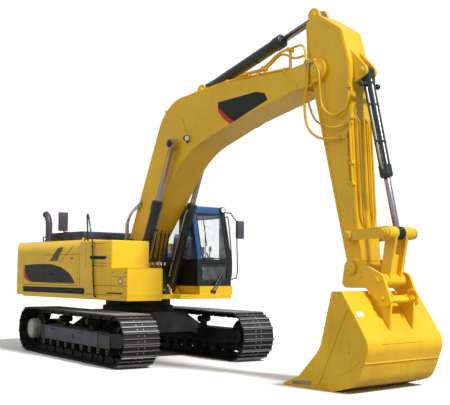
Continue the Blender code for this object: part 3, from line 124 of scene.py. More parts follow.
sheet = bmesh.new()
SHEET_HALF = 90.0
corners = [sheet.verts.new((a * SHEET_HALF, b * SHEET_HALF, cad_low.z)) for a, b in
           ((-1, -1), (1, -1), (1, 1), (-1, 1))]
sheet.faces.new(corners)
floor_mesh = bpy.data.meshes.new("studio_floor")
sheet.to_mesh(floor_mesh)
sheet.free()
floor_mesh.materials.append(paper)
floor = bpy.data.objects.new("studio_floor", floor_mesh)
bpy.context.scene.collection.objects.link(floor)
floor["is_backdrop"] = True

# the room is white where it shows, and lights the machine at a little under half that strength
world = bpy.data.worlds.new("studio")
bpy.context.scene.world = world
world.use_nodes = True
tree = world.node_tree
path = add(tree, "ShaderNodeLightPath")
strength = add(tree, "ShaderNodeMapRange", Value=path.outputs["Is Camera Ray"], To_Min=0.46, To_Max=1.05)
tree.nodes["Background"].inputs["Color"].default_value = linear("#FFFFFF")
tree.links.new(strength.outputs[0], tree.nodes["Background"].inputs["Strength"])


def far_lamp(name, heading, height, softness, strength):
    """A lamp so far off that its light is even; heading and height are its place in the sky."""
    lamp = bpy.data.lights.new(name, "SUN")
    lamp.angle = radians(softness)
    lamp.energy = strength
    source = bpy.data.objects.new(name, lamp)
    toward = Vector((cos(radians(heading)) * cos(radians(height)),
                     sin(radians(heading)) * cos(radians(height)), sin(radians(height))))
    source.rotation_euler = toward.to_track_quat("Z", "Y").to_euler()
    bpy.context.scene.collection.objects.link(source)


far_lamp("front_light", 8.0, 50.0, 8.0, 3.5)
far_lamp("side_light", -100.0, 30.0, 30.0, 0.40)

bpy.context.scene.view_settings.view_transform = "Standard"

CAMERA_PLACE = Vector((12.770, -10.125, 1.697))
CAMERA_HEADING = radians(140.42)
CAMERA_PITCH = radians(4.84)
CAMERA_ROLL = radians(0.41)
lens = bpy.data.cameras.new("camera")
lens.lens = 66.3
lens.sensor_width = 36.0
lens.shift_x = 0.043
lens.shift_y = 0.003
camera = bpy.data.objects.new("camera", lens)
forward = Vector((cos(CAMERA_PITCH) * cos(CAMERA_HEADING), cos(CAMERA_PITCH) * sin(CAMERA_HEADING),
                  sin(CAMERA_PITCH)))
right = forward.cross(Vector((0, 0, 1))).normalized()
up = right.cross(forward)
level = (right * cos(CAMERA_ROLL) + up * sin(CAMERA_ROLL),
         up * cos(CAMERA_ROLL) - right * sin(CAMERA_ROLL))
camera.matrix_world = Matrix.Translation(CAMERA_PLACE) @ Matrix(
    (level[0], level[1], -forward)).transposed().to_4x4()
bpy.context.scene.collection.objects.link(camera)
bpy.context.scene.camera = camera


# ---------------------------------------------------------------------------------------------
# Track shoes
# Rolled manganese steel shoes with three grousers each, bolted to the chain.  The plates stay
# black with scale and soil, and the grousers' tips are ground bright by stones.
# ---------------------------------------------------------------------------------------------

TRACK_TURN = radians(-6.1)
WHEEL_BASE = 4.10
TRACK_GAUGE = 2.59
SHOE_WIDTH = 0.72
SHOE_COUNT = 49
TIP_RADIUS = 0.48
SHOE_HEIGHT = 0.040
SHOE_PLATE = 0.014
SHOE_BASE = TIP_RADIUS - SHOE_HEIGHT
LOOP_LENGTH = 2 * (WHEEL_BASE + pi * TIP_RADIUS)
PITCH = LOOP_LENGTH / SHOE_COUNT
SIDES = {"left": 1, "right": -1}


def on_tracks(x, y, z):
    """A place given along and across the tracks, which stand turned under the machine."""
    return Vector((pins["swing"].x + x * cos(TRACK_TURN) - y * sin(TRACK_TURN),
                   x * sin(TRACK_TURN) + y * cos(TRACK_TURN), z))


def prism(shape, outline, low, high, place, surface=0):
    """Adds an outline of (a, b) drawn out from c = low to c = high; place makes (a, b, c) a point."""
    ends = [[shape.verts.new(place(a, b, c)) for a, b in outline] for c in (low, high)]
    faces = [shape.faces.new(ends[0]), shape.faces.new(ends[1])]
    for here in range(len(outline)):
        following = (here + 1) % len(outline)
        faces.append(shape.faces.new((ends[0][here], ends[0][following],
                                      ends[1][following], ends[1][here])))
    for face in faces:
        face.material_index = surface


def turned(shape, profile, start, direction, steps=24, surface=0):
    """Adds a body of revolution: profile holds (distance along the axis, radius) pairs."""
    axis = Vector(direction).normalized()
    side = axis.orthogonal().normalized()
    other = axis.cross(side)
    rings = []
    for distance, radius in profile:
        middle = Vector(start) + axis * distance
        rings.append([shape.verts.new(middle + (side * cos(2 * pi * step / steps)
                                                + other * sin(2 * pi * step / steps)) * radius)
                      for step in range(steps)])
    faces = [shape.faces.new(rings[0]), shape.faces.new(rings[-1])]
    for first, second in zip(rings, rings[1:]):
        for step in range(steps):
            following = (step + 1) % steps
            faces.append(shape.faces.new((first[step], first[following],
                                          second[following], second[step])))
    for face in faces:
        face.material_index = surface


def finished(name, shape, materials, body, edge=0.0, stands_for=(), sharp=32.0):
    """Makes the shape an object on its body, with its edges rounded and its materials given."""
    bmesh.ops.recalc_face_normals(shape, faces=shape.faces)
    mesh = bpy.data.meshes.new(name)
    shape.to_mesh(mesh)
    shape.free()
    for material in materials:
        mesh.materials.append(material)
    mesh.shade_smooth()
    mesh.set_sharp_from_angle(angle=radians(sharp))
    piece = bpy.data.objects.new(name, mesh)
    bpy.context.scene.collection.objects.link(piece)
    if edge:
        rounding = piece.modifiers.new("rounded_edges", "BEVEL")
        rounding.width = edge
        rounding.segments = 2
        rounding.limit_method = "ANGLE"
        rounding.angle_limit = radians(35)
        rounding.harden_normals = True
    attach(piece, body)
    if stands_for:
        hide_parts(*stands_for)
    return piece


def steel(name, dark, light, roughness, patch_mm, metallic=1.0):
    """Bare or scaled steel: patches of two tones, and a roughness that follows them."""
    material, tree, output = new_material(name)
    place = add(tree, "ShaderNodeTexCoord")
    patch = add(tree, "ShaderNodeTexNoise", Vector=place.outputs["Object"],
                Scale=1000 / patch_mm / 4, Detail=5.0, Roughness=0.62)
    tone = add(tree, "ShaderNodeMix", {"data_type": "RGBA"}, i0=patch.outputs["Fac"],
               i6=linear(dark), i7=linear(light))
    rough = add(tree, "ShaderNodeMapRange", Value=patch.outputs["Fac"], To_Min=roughness + 0.12,
                To_Max=roughness - 0.08)
    bump = add(tree, "ShaderNodeBump", Height=patch.outputs["Fac"], Strength=0.25, Distance=0.003)
    surface = add(tree, "ShaderNodeBsdfPrincipled", Base_Color=tone.outputs[2], Metallic=metallic,
                  Roughness=rough.outputs[0], Normal=bump.outputs[0])
    tree.links.new(surface.outputs[0], output.inputs["Surface"])
    return material


# rolled steel under soil and mill scale: nearly black, dull, with brown-grey patches of 60 mm
scaled_steel = steel("scaled_shoe_steel", "#131315", "#39373A", 0.52, 60, metallic=0.35)
# the same steel where stones have ground it: pale, bright, scratched in patches of 30 mm
ground_steel = steel("ground_shoe_steel", "#8E9096", "#D6D8DE", 0.34, 30)


def loop_frame(distance):
    """The middle of a shoe on its loop, with the ways along and out of the loop, in x and z."""
    bend = pi * TIP_RADIUS
    half = WHEEL_BASE / 2
    distance %= LOOP_LENGTH
    if distance < WHEEL_BASE:
        angle, middle, shift = -pi / 2, Vector((0.0, TIP_RADIUS)), distance - half
    elif distance < WHEEL_BASE + bend:
        angle = -pi / 2 + (distance - WHEEL_BASE) / TIP_RADIUS
        middle, shift = Vector((half, TIP_RADIUS)), 0.0
    elif distance < 2 * WHEEL_BASE + bend:
        angle, middle, shift = pi / 2, Vector((0.0, TIP_RADIUS)), distance - WHEEL_BASE - bend - half
    else:
        angle = pi / 2 + (distance - 2 * WHEEL_BASE - bend) / TIP_RADIUS
        middle, shift = Vector((-half, TIP_RADIUS)), 0.0
    outward = Vector((cos(angle), sin(angle)))
    forward = Vector((-outward.y, outward.x))
    drawn_in = 0.0 if abs(abs(angle) - pi / 2) < 1e-6 else 0.009
    return middle + outward * (SHOE_BASE - drawn_in) + forward * shift, forward, outward


def standing_at(number, middle_y):
    """Where (along, out of, across) one shoe of the loop is in the frame."""
    centre, ahead, outward = loop_frame((number + 0.5) * PITCH)

    def place(a, b, c):
        spot = centre + ahead * a + outward * b
        return on_tracks(spot.x, middle_y + c, spot.y)

    return place


GROUSERS = (-0.094, 0.004, 0.098)
GROUSER_FOOT = 0.011
GROUSER_TIP = 0.007
WORN_TIP = 0.008
PLATE_OUTLINE = [(-0.112, 0.0), (0.100, 0.0), (0.112, 0.006), (0.112, SHOE_PLATE + 0.002),
                 (0.098, SHOE_PLATE), (-0.104, SHOE_PLATE), (-0.112, 0.008)]
SHOE_BOLTS = ((-0.045, 0.062), (0.052, 0.062))

for side, sign in SIDES.items():
    shoes = bmesh.new()
    middle_y = sign * TRACK_GAUGE / 2
    half = SHOE_WIDTH / 2
    for number in range(SHOE_COUNT):
        on_shoe = standing_at(number, middle_y)
        prism(shoes, PLATE_OUTLINE, -half, half, on_shoe)
        for along in GROUSERS:
            prism(shoes, [(along - GROUSER_FOOT, SHOE_PLATE - 0.002),
                          (along + GROUSER_FOOT, SHOE_PLATE - 0.002),
                          (along + GROUSER_TIP, SHOE_HEIGHT - WORN_TIP),
                          (along - GROUSER_TIP, SHOE_HEIGHT - WORN_TIP)], -half, half, on_shoe)
            prism(shoes, [(along - GROUSER_TIP - 0.001, SHOE_HEIGHT - WORN_TIP - 0.001),
                          (along + GROUSER_TIP + 0.001, SHOE_HEIGHT - WORN_TIP - 0.001),
                          (along + GROUSER_TIP - 0.001, SHOE_HEIGHT),
                          (along - GROUSER_TIP + 0.001, SHOE_HEIGHT)], -half, half, on_shoe, surface=1)
        for along, across in SHOE_BOLTS:
            for hand in (-1, 1):
                foot = on_shoe(along, SHOE_PLATE - 0.001, hand * across)
                turned(shoes, [(0.0, 0.014), (0.010, 0.014), (0.012, 0.011)], foot,
                       on_shoe(along, 1.0, hand * across) - foot, steps=6, surface=1)
    finished("track_shoes_" + side, shoes, [scaled_steel, ground_steel], "undercarriage",
             stands_for=["track_" + side])


# ---------------------------------------------------------------------------------------------
# Track chains
# Two rows of forged links under the shoes, joined by bushings that the sprocket drives.
# ---------------------------------------------------------------------------------------------

LINK_OUTLINE = [(-0.125, -0.070), (-0.100, -0.095), (0.070, -0.100), (0.100, -0.080), (0.118, -0.055),
                (0.112, -0.022), (0.085, 0.0), (-0.090, 0.0), (-0.125, -0.030)]
LINK_ROWS = ((0.052, 0.078), (0.070, 0.096))
BUSHING_RADIUS = 0.030
BUSHING_WIDTH = 0.20
BUSHING_DEPTH = -0.050

# forged steel in greased dust: dark brown-black and dull, with patches of 40 mm
greased_steel = steel("greased_chain_steel", "#0E0D0D", "#2C2826", 0.5, 40, metallic=0.4)

for side, sign in SIDES.items():
    chain = bmesh.new()
    middle_y = sign * TRACK_GAUGE / 2
    for number in range(SHOE_COUNT):
        on_link = standing_at(number, middle_y)
        for hand in (-1, 1):
            inner, outer = LINK_ROWS[number % 2]
            low, high = sorted((hand * inner, hand * outer))
            prism(chain, LINK_OUTLINE, low, high, on_link)
        start = on_link(-PITCH / 2, BUSHING_DEPTH, -BUSHING_WIDTH / 2)
        end = on_link(-PITCH / 2, BUSHING_DEPTH, BUSHING_WIDTH / 2)
        turned(chain, [(0.0, BUSHING_RADIUS), (BUSHING_WIDTH, BUSHING_RADIUS)], start, end - start, 10)
    finished("track_chain_" + side, chain, [greased_steel], "undercarriage")


# ---------------------------------------------------------------------------------------------
# Sprockets, final drives and idlers
# A toothed rim bolted to the final drive's case, whose turned cover is left in pale primer; the
# idler is a cast wheel with a guiding flange between the chain's rows.
# ---------------------------------------------------------------------------------------------

TEETH = 21
ROOT_RADIUS = 0.312
TOOTH_RADIUS = 0.356
COVER_RADIUS = 0.215
COVER_FACE = 0.268


def tracks_side(a, b, c):
    """An outline of (x, z) drawn on the side of a track."""
    return on_tracks(a, c, b)


def cast_paint(name, colour, worn, roughness, grain_mm):
    """Enamel over a rough casting: the sand's grain shows through it as a fine, dull bump."""
    material, tree, output = new_material(name)
    place = add(tree, "ShaderNodeTexCoord")
    grain = add(tree, "ShaderNodeTexNoise", Vector=place.outputs["Object"],
                Scale=1000 / grain_mm / 4, Detail=3.0)
    stain = add(tree, "ShaderNodeTexNoise", Vector=place.outputs["Object"], Scale=3.1, Detail=6.0)
    share = add(tree, "ShaderNodeMapRange", Value=stain.outputs["Fac"], From_Min=0.42, From_Max=0.72)
    tone = add(tree, "ShaderNodeMix", {"data_type": "RGBA"}, i0=share.outputs[0],
               i6=linear(colour), i7=linear(worn))
    bump = add(tree, "ShaderNodeBump", Height=grain.outputs["Fac"], Strength=0.18, Distance=0.004)
    surface = add(tree, "ShaderNodeBsdfPrincipled", Base_Color=tone.outputs[2], Roughness=roughness,
                  Normal=bump.outputs[0])
    tree.links.new(surface.outputs[0], output.inputs["Surface"])
    return material


# zinc primer on the machined cover: pale warm grey, matt, its grain drawn at 12 mm so it shows
cover_primer = cast_paint("final_drive_primer", "#B9B7AE", "#8B8982", 0.55, 12)
# black enamel on the undercarriage castings, dulled to charcoal by fine dust; also laid as painted shade in the
# track frames' slots and clean-out hole
dusty_black_and_hole_shade = cast_paint("dusty_black_enamel_and_hole_shade", "#141416", "#2B2A2C", 0.6, 14)


def bolt_ring(shape, middle, direction, radius, count, size, surface=0):
    """Adds a ring of hexagon heads round an axis."""
    axis = Vector(direction).normalized()
    side = axis.orthogonal().normalized()
    other = axis.cross(side)
    for number in range(count):
        angle = 2 * pi * number / count
        foot = Vector(middle) + (side * cos(angle) + other * sin(angle)) * radius
        turned(shape, [(0.0, size), (size * 0.8, size), (size, size * 0.75)], foot, axis, 6, surface)


for side, sign in SIDES.items():
    middle_y = sign * TRACK_GAUGE / 2
    outward = on_tracks(0, sign, 0) - on_tracks(0, 0, 0)

    drive = bmesh.new()
    rim = []
    for tooth in range(TEETH):
        for share, radius in ((0.0, ROOT_RADIUS), (0.30, ROOT_RADIUS), (0.48, TOOTH_RADIUS),
                              (0.62, TOOTH_RADIUS), (0.80, ROOT_RADIUS)):
            angle = 2 * pi * (tooth + share) / TEETH
            rim.append((-WHEEL_BASE / 2 + radius * cos(angle), TIP_RADIUS + radius * sin(angle)))
    prism(drive, rim, middle_y - 0.035, middle_y + 0.035, tracks_side)
    axle = on_tracks(-WHEEL_BASE / 2, middle_y, TIP_RADIUS)
    turned(drive, [(-0.18, 0.20), (-0.05, 0.23), (-0.04, 0.265), (0.045, 0.265), (0.055, 0.25),
                   (0.10, 0.235)], axle, outward, 48)
    turned(drive, [(0.09, COVER_RADIUS), (COVER_FACE - 0.06, COVER_RADIUS), (COVER_FACE - 0.05, 0.205),
                   (COVER_FACE - 0.018, 0.203), (COVER_FACE - 0.010, 0.195), (COVER_FACE - 0.010, 0.160),
                   (COVER_FACE - 0.002, 0.152), (COVER_FACE, 0.060), (COVER_FACE - 0.006, 0.055)],
           axle, outward, 48, surface=1)
    bolt_ring(drive, axle + outward * (COVER_FACE - 0.012), outward, 0.178, 18, 0.010)
    bolt_ring(drive, axle + outward * 0.050, outward, 0.245, 24, 0.012)
    finished("sprocket_and_drive_" + side, drive, [dusty_black_and_hole_shade, cover_primer], "undercarriage",
             stands_for=["sprocket_" + side])

    wheel = bmesh.new()
    axle = on_tracks(WHEEL_BASE / 2, middle_y, TIP_RADIUS)
    turned(wheel, [(-0.098, 0.290), (-0.095, 0.325), (-0.035, 0.330), (-0.030, 0.352), (0.030, 0.352),
                   (0.035, 0.330), (0.095, 0.325), (0.098, 0.290), (0.040, 0.270), (0.032, 0.150),
                   (0.060, 0.125), (0.148, 0.110), (0.150, 0.085)], axle, outward, 48)
    turned(wheel, [(-0.149, 0.100), (-0.060, 0.120), (-0.030, 0.260)], axle, outward, 48)
    finished("idler_wheel_" + side, wheel, [greased_steel], "undercarriage",
             stands_for=["idler_" + side])


# ---------------------------------------------------------------------------------------------
# Track frames, rollers and carbody
# Welded box frames in dark grey enamel; the outer face has two slots and a square clean-out hole,
# drawn as black sheets of painted shade, and the rollers' caps are bolted up under it.
# ---------------------------------------------------------------------------------------------

FRAME_FACE = TRACK_GAUGE / 2 + 0.20
FRAME_BOTTOM = 0.30
FRAME_TOP = 0.60
FRAME_REAR = -1.59
FRAME_FRONT = 1.65
GUARD_REAR = 1.17
ROLLERS = 9
ROLLER_Z = 0.233

# dark grey chassis enamel with road film: a purplish grey that goes paler in stains
frame_enamel = cast_paint("chassis_enamel", "#4B4856", "#5E5B66", 0.5, 14)
# the bolted idler guard, from another batch of paint: the same grey with a green tinge
guard_enamel = cast_paint("idler_guard_enamel", "#3D403A", "#4C4E45", 0.55, 14)

for name in ("track_frame_left", "track_frame_right"):
    nodes[name].material_slots[0].material = dusty_black_and_hole_shade
nodes["carbody"].material_slots[0].material = dusty_black_and_hole_shade
nodes["slew_ring"].material_slots[0].material = greased_steel

for side, sign in SIDES.items():
    face = sign * FRAME_FACE
    outward = on_tracks(0, sign, 0) - on_tracks(0, 0, 0)

    def skin(shape, outline, proud, surface=0):
        low, high = sorted((face - sign * 0.004, face + sign * proud))
        prism(shape, outline, low, high, tracks_side, surface)

    plates = bmesh.new()
    skin(plates, [(FRAME_REAR + 0.22, FRAME_BOTTOM + 0.02), (GUARD_REAR - 0.02, FRAME_BOTTOM + 0.005),
                  (GUARD_REAR - 0.02, FRAME_TOP - 0.03), (FRAME_REAR + 0.22, FRAME_TOP - 0.015)], 0.010)
    skin(plates, [(GUARD_REAR + 0.03, FRAME_BOTTOM), (FRAME_FRONT + 0.02, FRAME_BOTTOM + 0.01),
                  (FRAME_FRONT + 0.02, FRAME_TOP - 0.05), (GUARD_REAR + 0.03, FRAME_TOP - 0.035)], 0.014, 1)
    # the two slots and the square clean-out hole are black sheets on the plates: painted shade for the dark inside
    # of the openings
    for middle in (-0.92, 0.40):
        slot_shade = [(middle - 0.14, FRAME_TOP - 0.062), (middle - 0.12, FRAME_TOP - 0.050),
                (middle + 0.13, FRAME_TOP - 0.058), (middle + 0.13, FRAME_TOP - 0.076),
                (middle + 0.02, FRAME_TOP - 0.092), (middle - 0.12, FRAME_TOP - 0.076)]
        skin(plates, slot_shade, 0.0112, 2)
    skin(plates, [(0.055 + a * 0.042, 0.44 + b * 0.042) for a, b in ((-1, -1), (1, -1), (1, 1), (-1, 1))],
         0.0112, 2)
    finished("frame_plates_" + side, plates, [frame_enamel, guard_enamel, dusty_black_and_hole_shade], "undercarriage",
             edge=0.004)

    caps = bmesh.new()
    for number in range(ROLLERS):
        x = FRAME_REAR + 0.12 + (FRAME_FRONT - FRAME_REAR - 0.24) * number / (ROLLERS - 1)
        axle = on_tracks(x, face - sign * 0.075, ROLLER_Z)
        turned(caps, [(0.0, 0.070), (0.060, 0.066), (0.072, 0.050), (0.078, 0.024)], axle, outward, 16)
        bolt_ring(caps, axle + outward * 0.068, outward, 0.040, 4, 0.009, surface=1)
        low, high = sorted((face - sign * 0.075, face - sign * 0.01))
        prism(caps, [(x - 0.055, ROLLER_Z), (x + 0.055, ROLLER_Z), (x + 0.075, FRAME_BOTTOM + 0.02),
                     (x - 0.075, FRAME_BOTTOM + 0.02)], low, high, tracks_side)
    for number in (-1, 1):
        x = number * 0.65 - 0.1
        axle = on_tracks(x, sign * (TRACK_GAUGE / 2 + 0.118), 0.752)
        turned(caps, [(0.0, 0.060), (0.030, 0.056), (0.040, 0.034)], axle, outward, 16)
        bolt_ring(caps, axle + outward * 0.034, outward, 0.036, 3, 0.008, surface=1)
    finished("roller_caps_" + side, caps, [dusty_black_and_hole_shade, ground_steel], "undercarriage")

ring = bmesh.new()
centre = Vector((pins["swing"].x, 0.0, 1.03))
bolt_ring(ring, centre, (0, 0, 1), 0.71, 40, 0.014)
finished("slew_ring_bolts", ring, [greased_steel], "undercarriage")


# ---------------------------------------------------------------------------------------------
# Bodywork of the upper structure
# Pressed and welded steel: the deck with its lugs, the engine housing with its doors, the cast
# counterweight behind them, the tank and the tool box.  Two coats of enamel are sprayed over
# primer: yellow, save on the hood.
# ---------------------------------------------------------------------------------------------

body_of = {name: body for body, names in frame["record"]["behaviour"]["bodies"].items()
           for name in names}


def enamel(name, fresh, faded, dirt, roughness, soiled=(0.0, 0.35), coat=0.25):
    """Sprayed enamel: a cloudy tone, dust in thin films, streaks under edges and orange peel."""
    material, tree, output = new_material(name)
    place = add(tree, "ShaderNodeTexCoord")
    cloud = add(tree, "ShaderNodeTexNoise", Vector=place.outputs["Object"], Scale=1.3, Detail=3.0)
    share = add(tree, "ShaderNodeMapRange", Value=cloud.outputs["Fac"], From_Min=0.35, From_Max=0.68)
    tone = add(tree, "ShaderNodeMix", {"data_type": "RGBA"}, i0=share.outputs[0],
               i6=linear(fresh), i7=linear(faded))
    stretch = add(tree, "ShaderNodeMapping", Vector=place.outputs["Object"], Scale=(9.0, 9.0, 1.6))
    streak = add(tree, "ShaderNodeTexNoise", Vector=stretch.outputs[0], Scale=1.0, Detail=6.0,
                 Roughness=0.65)
    film = add(tree, "ShaderNodeMapRange", Value=streak.outputs["Fac"], From_Min=0.50, From_Max=0.78,
               To_Min=soiled[0], To_Max=soiled[1])
    dusty = add(tree, "ShaderNodeMix", {"data_type": "RGBA"}, i0=film.outputs[0],
                i6=tone.outputs[2], i7=linear(dirt))
    dull = add(tree, "ShaderNodeMapRange", Value=streak.outputs["Fac"], From_Min=0.4, From_Max=0.75,
               To_Min=roughness, To_Max=roughness + 0.18)
    peel = add(tree, "ShaderNodeTexNoise", Vector=place.outputs["Object"], Scale=160.0, Detail=1.0)
    dent = add(tree, "ShaderNodeTexNoise", Vector=place.outputs["Object"], Scale=2.6, Detail=1.0)
    fine = add(tree, "ShaderNodeBump", Height=peel.outputs["Fac"], Strength=0.05, Distance=0.002)
    wave = add(tree, "ShaderNodeBump", Height=dent.outputs["Fac"], Strength=0.10, Distance=0.03,
               Normal=fine.outputs[0])
    surface = add(tree, "ShaderNodeBsdfPrincipled", Base_Color=dusty.outputs[2],
                  Roughness=dull.outputs[0], Coat_Weight=coat, Coat_Roughness=0.12,
                  Normal=wave.outputs[0])
    tree.links.new(surface.outputs[0], output.inputs["Surface"])
    return material


def dressed(name, materials, edge=0.004, sharp=32.0, paint=None):
    """A node's own shape with its edges rounded and its round faces smooth, in its real finish."""
    shape = bmesh.new()
    shape.from_mesh(nodes[name].data)
    bmesh.ops.remove_doubles(shape, verts=shape.verts, dist=0.0001)
    bmesh.ops.dissolve_limit(shape, angle_limit=radians(0.4), verts=shape.verts, edges=shape.edges)
    for face in shape.faces:
        face.material_index = paint(face) if paint else 0
    return finished(name + "_finished", shape, materials, body_of[name], edge=edge,
                    stands_for=[name], sharp=sharp)


# warm chrome-yellow enamel, glossy and a little cloudy, with a thin ochre dust film
yellow = enamel("yellow_enamel", "#F3C516", "#EBBB12", "#C6A02C", 0.32, (0.0, 0.14))
# blue-black enamel of the hood, almost matt with dust
hood_blue = enamel("hood_blue_enamel", "#161A33", "#1F2440", "#44475A", 0.42, (0.0, 0.3))

for name in ("revolving_frame", "counterweight", "engine_housing", "right_access_door",
             "left_access_door", "step_box", "tool_lid"):
    dressed(name, [yellow], edge=0.006)
dressed("tank", [yellow], edge=0.010)
dressed("engine_hood", [hood_blue], edge=0.012)


# ---------------------------------------------------------------------------------------------
# Boom, stick, linkage, coupler and bucket
# Box sections of welded plate, a forged linkage and a bucket bent from plate, all in yellow.
# ---------------------------------------------------------------------------------------------

# the same yellow on the plates of the arm, browner where the dust of the work lies
arm_yellow = enamel("arm_yellow_enamel", "#F4C518", "#E9B812", "#BC9424", 0.33, (0.0, 0.20))
# the darker, rubbed yellow of the bucket, scoured dull in long streaks
bucket_yellow = enamel("bucket_yellow_enamel", "#F3C418", "#E6B314", "#A9821E", 0.38, (0.0, 0.30), 0.15)

dressed("boom", [arm_yellow], edge=0.008, sharp=24.0)
dressed("stick", [arm_yellow], edge=0.008, sharp=24.0)
for name in ("idler_links", "power_link", "quick_coupler"):
    dressed(name, [arm_yellow], edge=0.006)
dressed("bucket", [bucket_yellow], edge=0.006)


# ---------------------------------------------------------------------------------------------
# Panels, hood trim and rails
# Each flat side has its doors' lines, a long black film with a red end, a pressed vent and a rubber
# bumper strip; on the hood are latches and pressed louvres, between two rails of bent tube.
# ---------------------------------------------------------------------------------------------

SIDE_FACE = 1.49

# glossy black film on the side: deep black with a faint cloud from washing
black_film = enamel("black_film", "#040405", "#08080A", "#2A2A2A", 0.30, (0.0, 0.06), 0.0)
# red film at the panel's end, clean and saturated
red_film = enamel("red_film", "#D8140E", "#C8100B", "#8A2A20", 0.25, (0.0, 0.12))
# the shadowed gap of a panel joint, and painted shade for the inside of recesses and pressed creases: near black
# under patches of dust
joint_black_and_recess_shade = cast_paint("dark_joints_and_painted_recess_shade", "#0C0B0A", "#1C1A17", 0.8, 9)
# pale olive baked paint of the pressed vent
vent_olive = cast_paint("vent_paint", "#6B6428", "#57511F", 0.5, 10)
# moulded black rubber and plastic, with a fine pebble of 2 mm
rubber = cast_paint("moulded_rubber", "#121213", "#1D1D1E", 0.62, 2)


def side_on(a, b, c):
    """An outline of (x, z), drawn out across the machine."""
    return Vector((a, c, b))


def skin_on(face, sign):
    """A maker of thin skins on a flat side: outlines are (x, z), and proud is how far they stand."""
    def lay(shape, outline, proud, surface=0, sunk=0.003):
        low, high = sorted((sign * (face - sunk), sign * (face + proud)))
        prism(shape, outline, low, high, side_on, surface)
    return lay


def strip(points, width):
    """The outline of a thin strip of a width along two or more points."""
    upper, lower = [], []
    for index, point in enumerate(points):
        before = Vector(points[max(index - 1, 0)])
        after = Vector(points[min(index + 1, len(points) - 1)])
        way = (after - before).normalized()
        side = Vector((-way.y, way.x)) * width / 2
        upper.append(tuple(Vector(point) + side))
        lower.append(tuple(Vector(point) - side))
    return upper + lower[::-1]


def oblong(low, high, radius, steps=4):
    """A rectangle's outline with round corners, from its low corner to its high one."""
    points = []
    left, right = low[0] + radius, high[0] - radius
    foot, head = low[1] + radius, high[1] - radius
    for a, b, start in ((right, head, 0.0), (left, head, 90.0),
                        (left, foot, 180.0), (right, foot, 270.0)):
        for step in range(steps + 1):
            angle = radians(start + 90.0 * step / steps)
            points.append((a + radius * cos(angle), b + radius * sin(angle)))
    return points


for side, sign in SIDES.items():
    lay = skin_on(SIDE_FACE, sign)
    trim = bmesh.new()
    panel = [(-3.965, 1.60), (-3.93, 1.865), (-3.50, 1.885), (-2.80, 1.885), (-2.35, 1.82),
             (-2.02, 1.70), (-1.86, 1.585), (-1.78, 1.495), (-3.62, 1.495), (-3.80, 1.52)]
    lay(trim, panel, 0.0016, 0)
    lay(trim, [(-3.957, 1.655), (-3.965, 1.60), (-3.80, 1.520), (-3.62, 1.496), (-3.54, 1.496),
               (-3.72, 1.545), (-3.88, 1.655), (-3.95, 1.80)], 0.0024, 1)
    lay(trim, [(-2.83, 1.945), (-2.50, 1.945), (-2.27, 2.235), (-2.50, 2.210)], 0.0012, 2)
    for row in range(5):
        z = 1.978 + row * 0.046
        lay(trim, strip([(-2.765 + row * 0.048, z), (-2.515 + row * 0.038, z)], 0.018), 0.006, 2)
    lay(trim, oblong((-1.975, 1.978), (-1.885, 2.018), 0.012), 0.006, 1)
    # a rubber piece whose black middle is painted shade for its hollow
    lay(trim, oblong((-2.86, 1.655), (-2.70, 1.705), 0.012), 0.012, 3)
    lay(trim, oblong((-2.835, 1.668), (-2.725, 1.692), 0.008), 0.0125, 4)
    finished(f"{side}_side_panels", trim, [black_film, red_film, vent_olive, rubber, joint_black_and_recess_shade],
             "upper_structure", edge=0.001)

    lines = bmesh.new()
    lay(lines, strip([(-1.86, 2.26), (-2.43, 1.90)], 0.008), 0.0008)
    lay(lines, strip([(-3.99, 1.445), (-1.70, 1.445)], 0.008), 0.0008)
    lay(lines, strip([(-1.385, 2.29), (-1.375, 1.80)], 0.007), 0.0008)
    lay(lines, strip([(-3.985, 2.05), (-3.985, 1.30)], 0.008), 0.0008)
    finished(f"{side}_panel_joints", lines, [joint_black_and_recess_shade], "upper_structure")

    bumper = bmesh.new()
    lay(bumper, oblong((-3.98, 1.285), (-1.42, 1.405), 0.035), 0.006, 0)
    lay(bumper, oblong((-3.95, 1.310), (-1.45, 1.380), 0.030), 0.016, 0)
    finished(f"{side}_bumper_strip", bumper, [rubber], "upper_structure", edge=0.006)

latches = bmesh.new()
for x, y in ((-3.05, -1.0), (-3.05, 1.0), (-3.72, 0.0)):
    turned(latches, [(0.0, 0.030), (0.012, 0.030), (0.016, 0.022)], (x, y, 2.579), (0, 0, 1), 20)
finished("hood_latches", latches, [rubber], "hood")


def lying(a, b, c):
    """An outline of (x, y), drawn out upwards."""
    return Vector((a, b, c))


ribs = bmesh.new()
for row in range(11):
    x = -3.70 + row * 0.12
    prism(ribs, oblong((x - 0.035, -0.62), (x + 0.035, 0.62), 0.03), 2.574, 2.586, lying)
finished("hood_louvres", ribs, [hood_blue], "hood", edge=0.006)


def eased(path, steps):
    """A smooth line through every point of a path."""
    ends = [path[0] * 2 - path[1], *path, path[-1] * 2 - path[-2]]
    line = []
    for before, here, there, after in zip(ends, ends[1:], ends[2:], ends[3:]):
        for step in range(steps):
            t = step / steps
            line.append(0.5 * ((2 * here) + (there - before) * t
                               + (2 * before - 5 * here + 4 * there - after) * t * t
                               + (3 * here - before - 3 * there + after) * t * t * t))
    return line + [path[-1]]


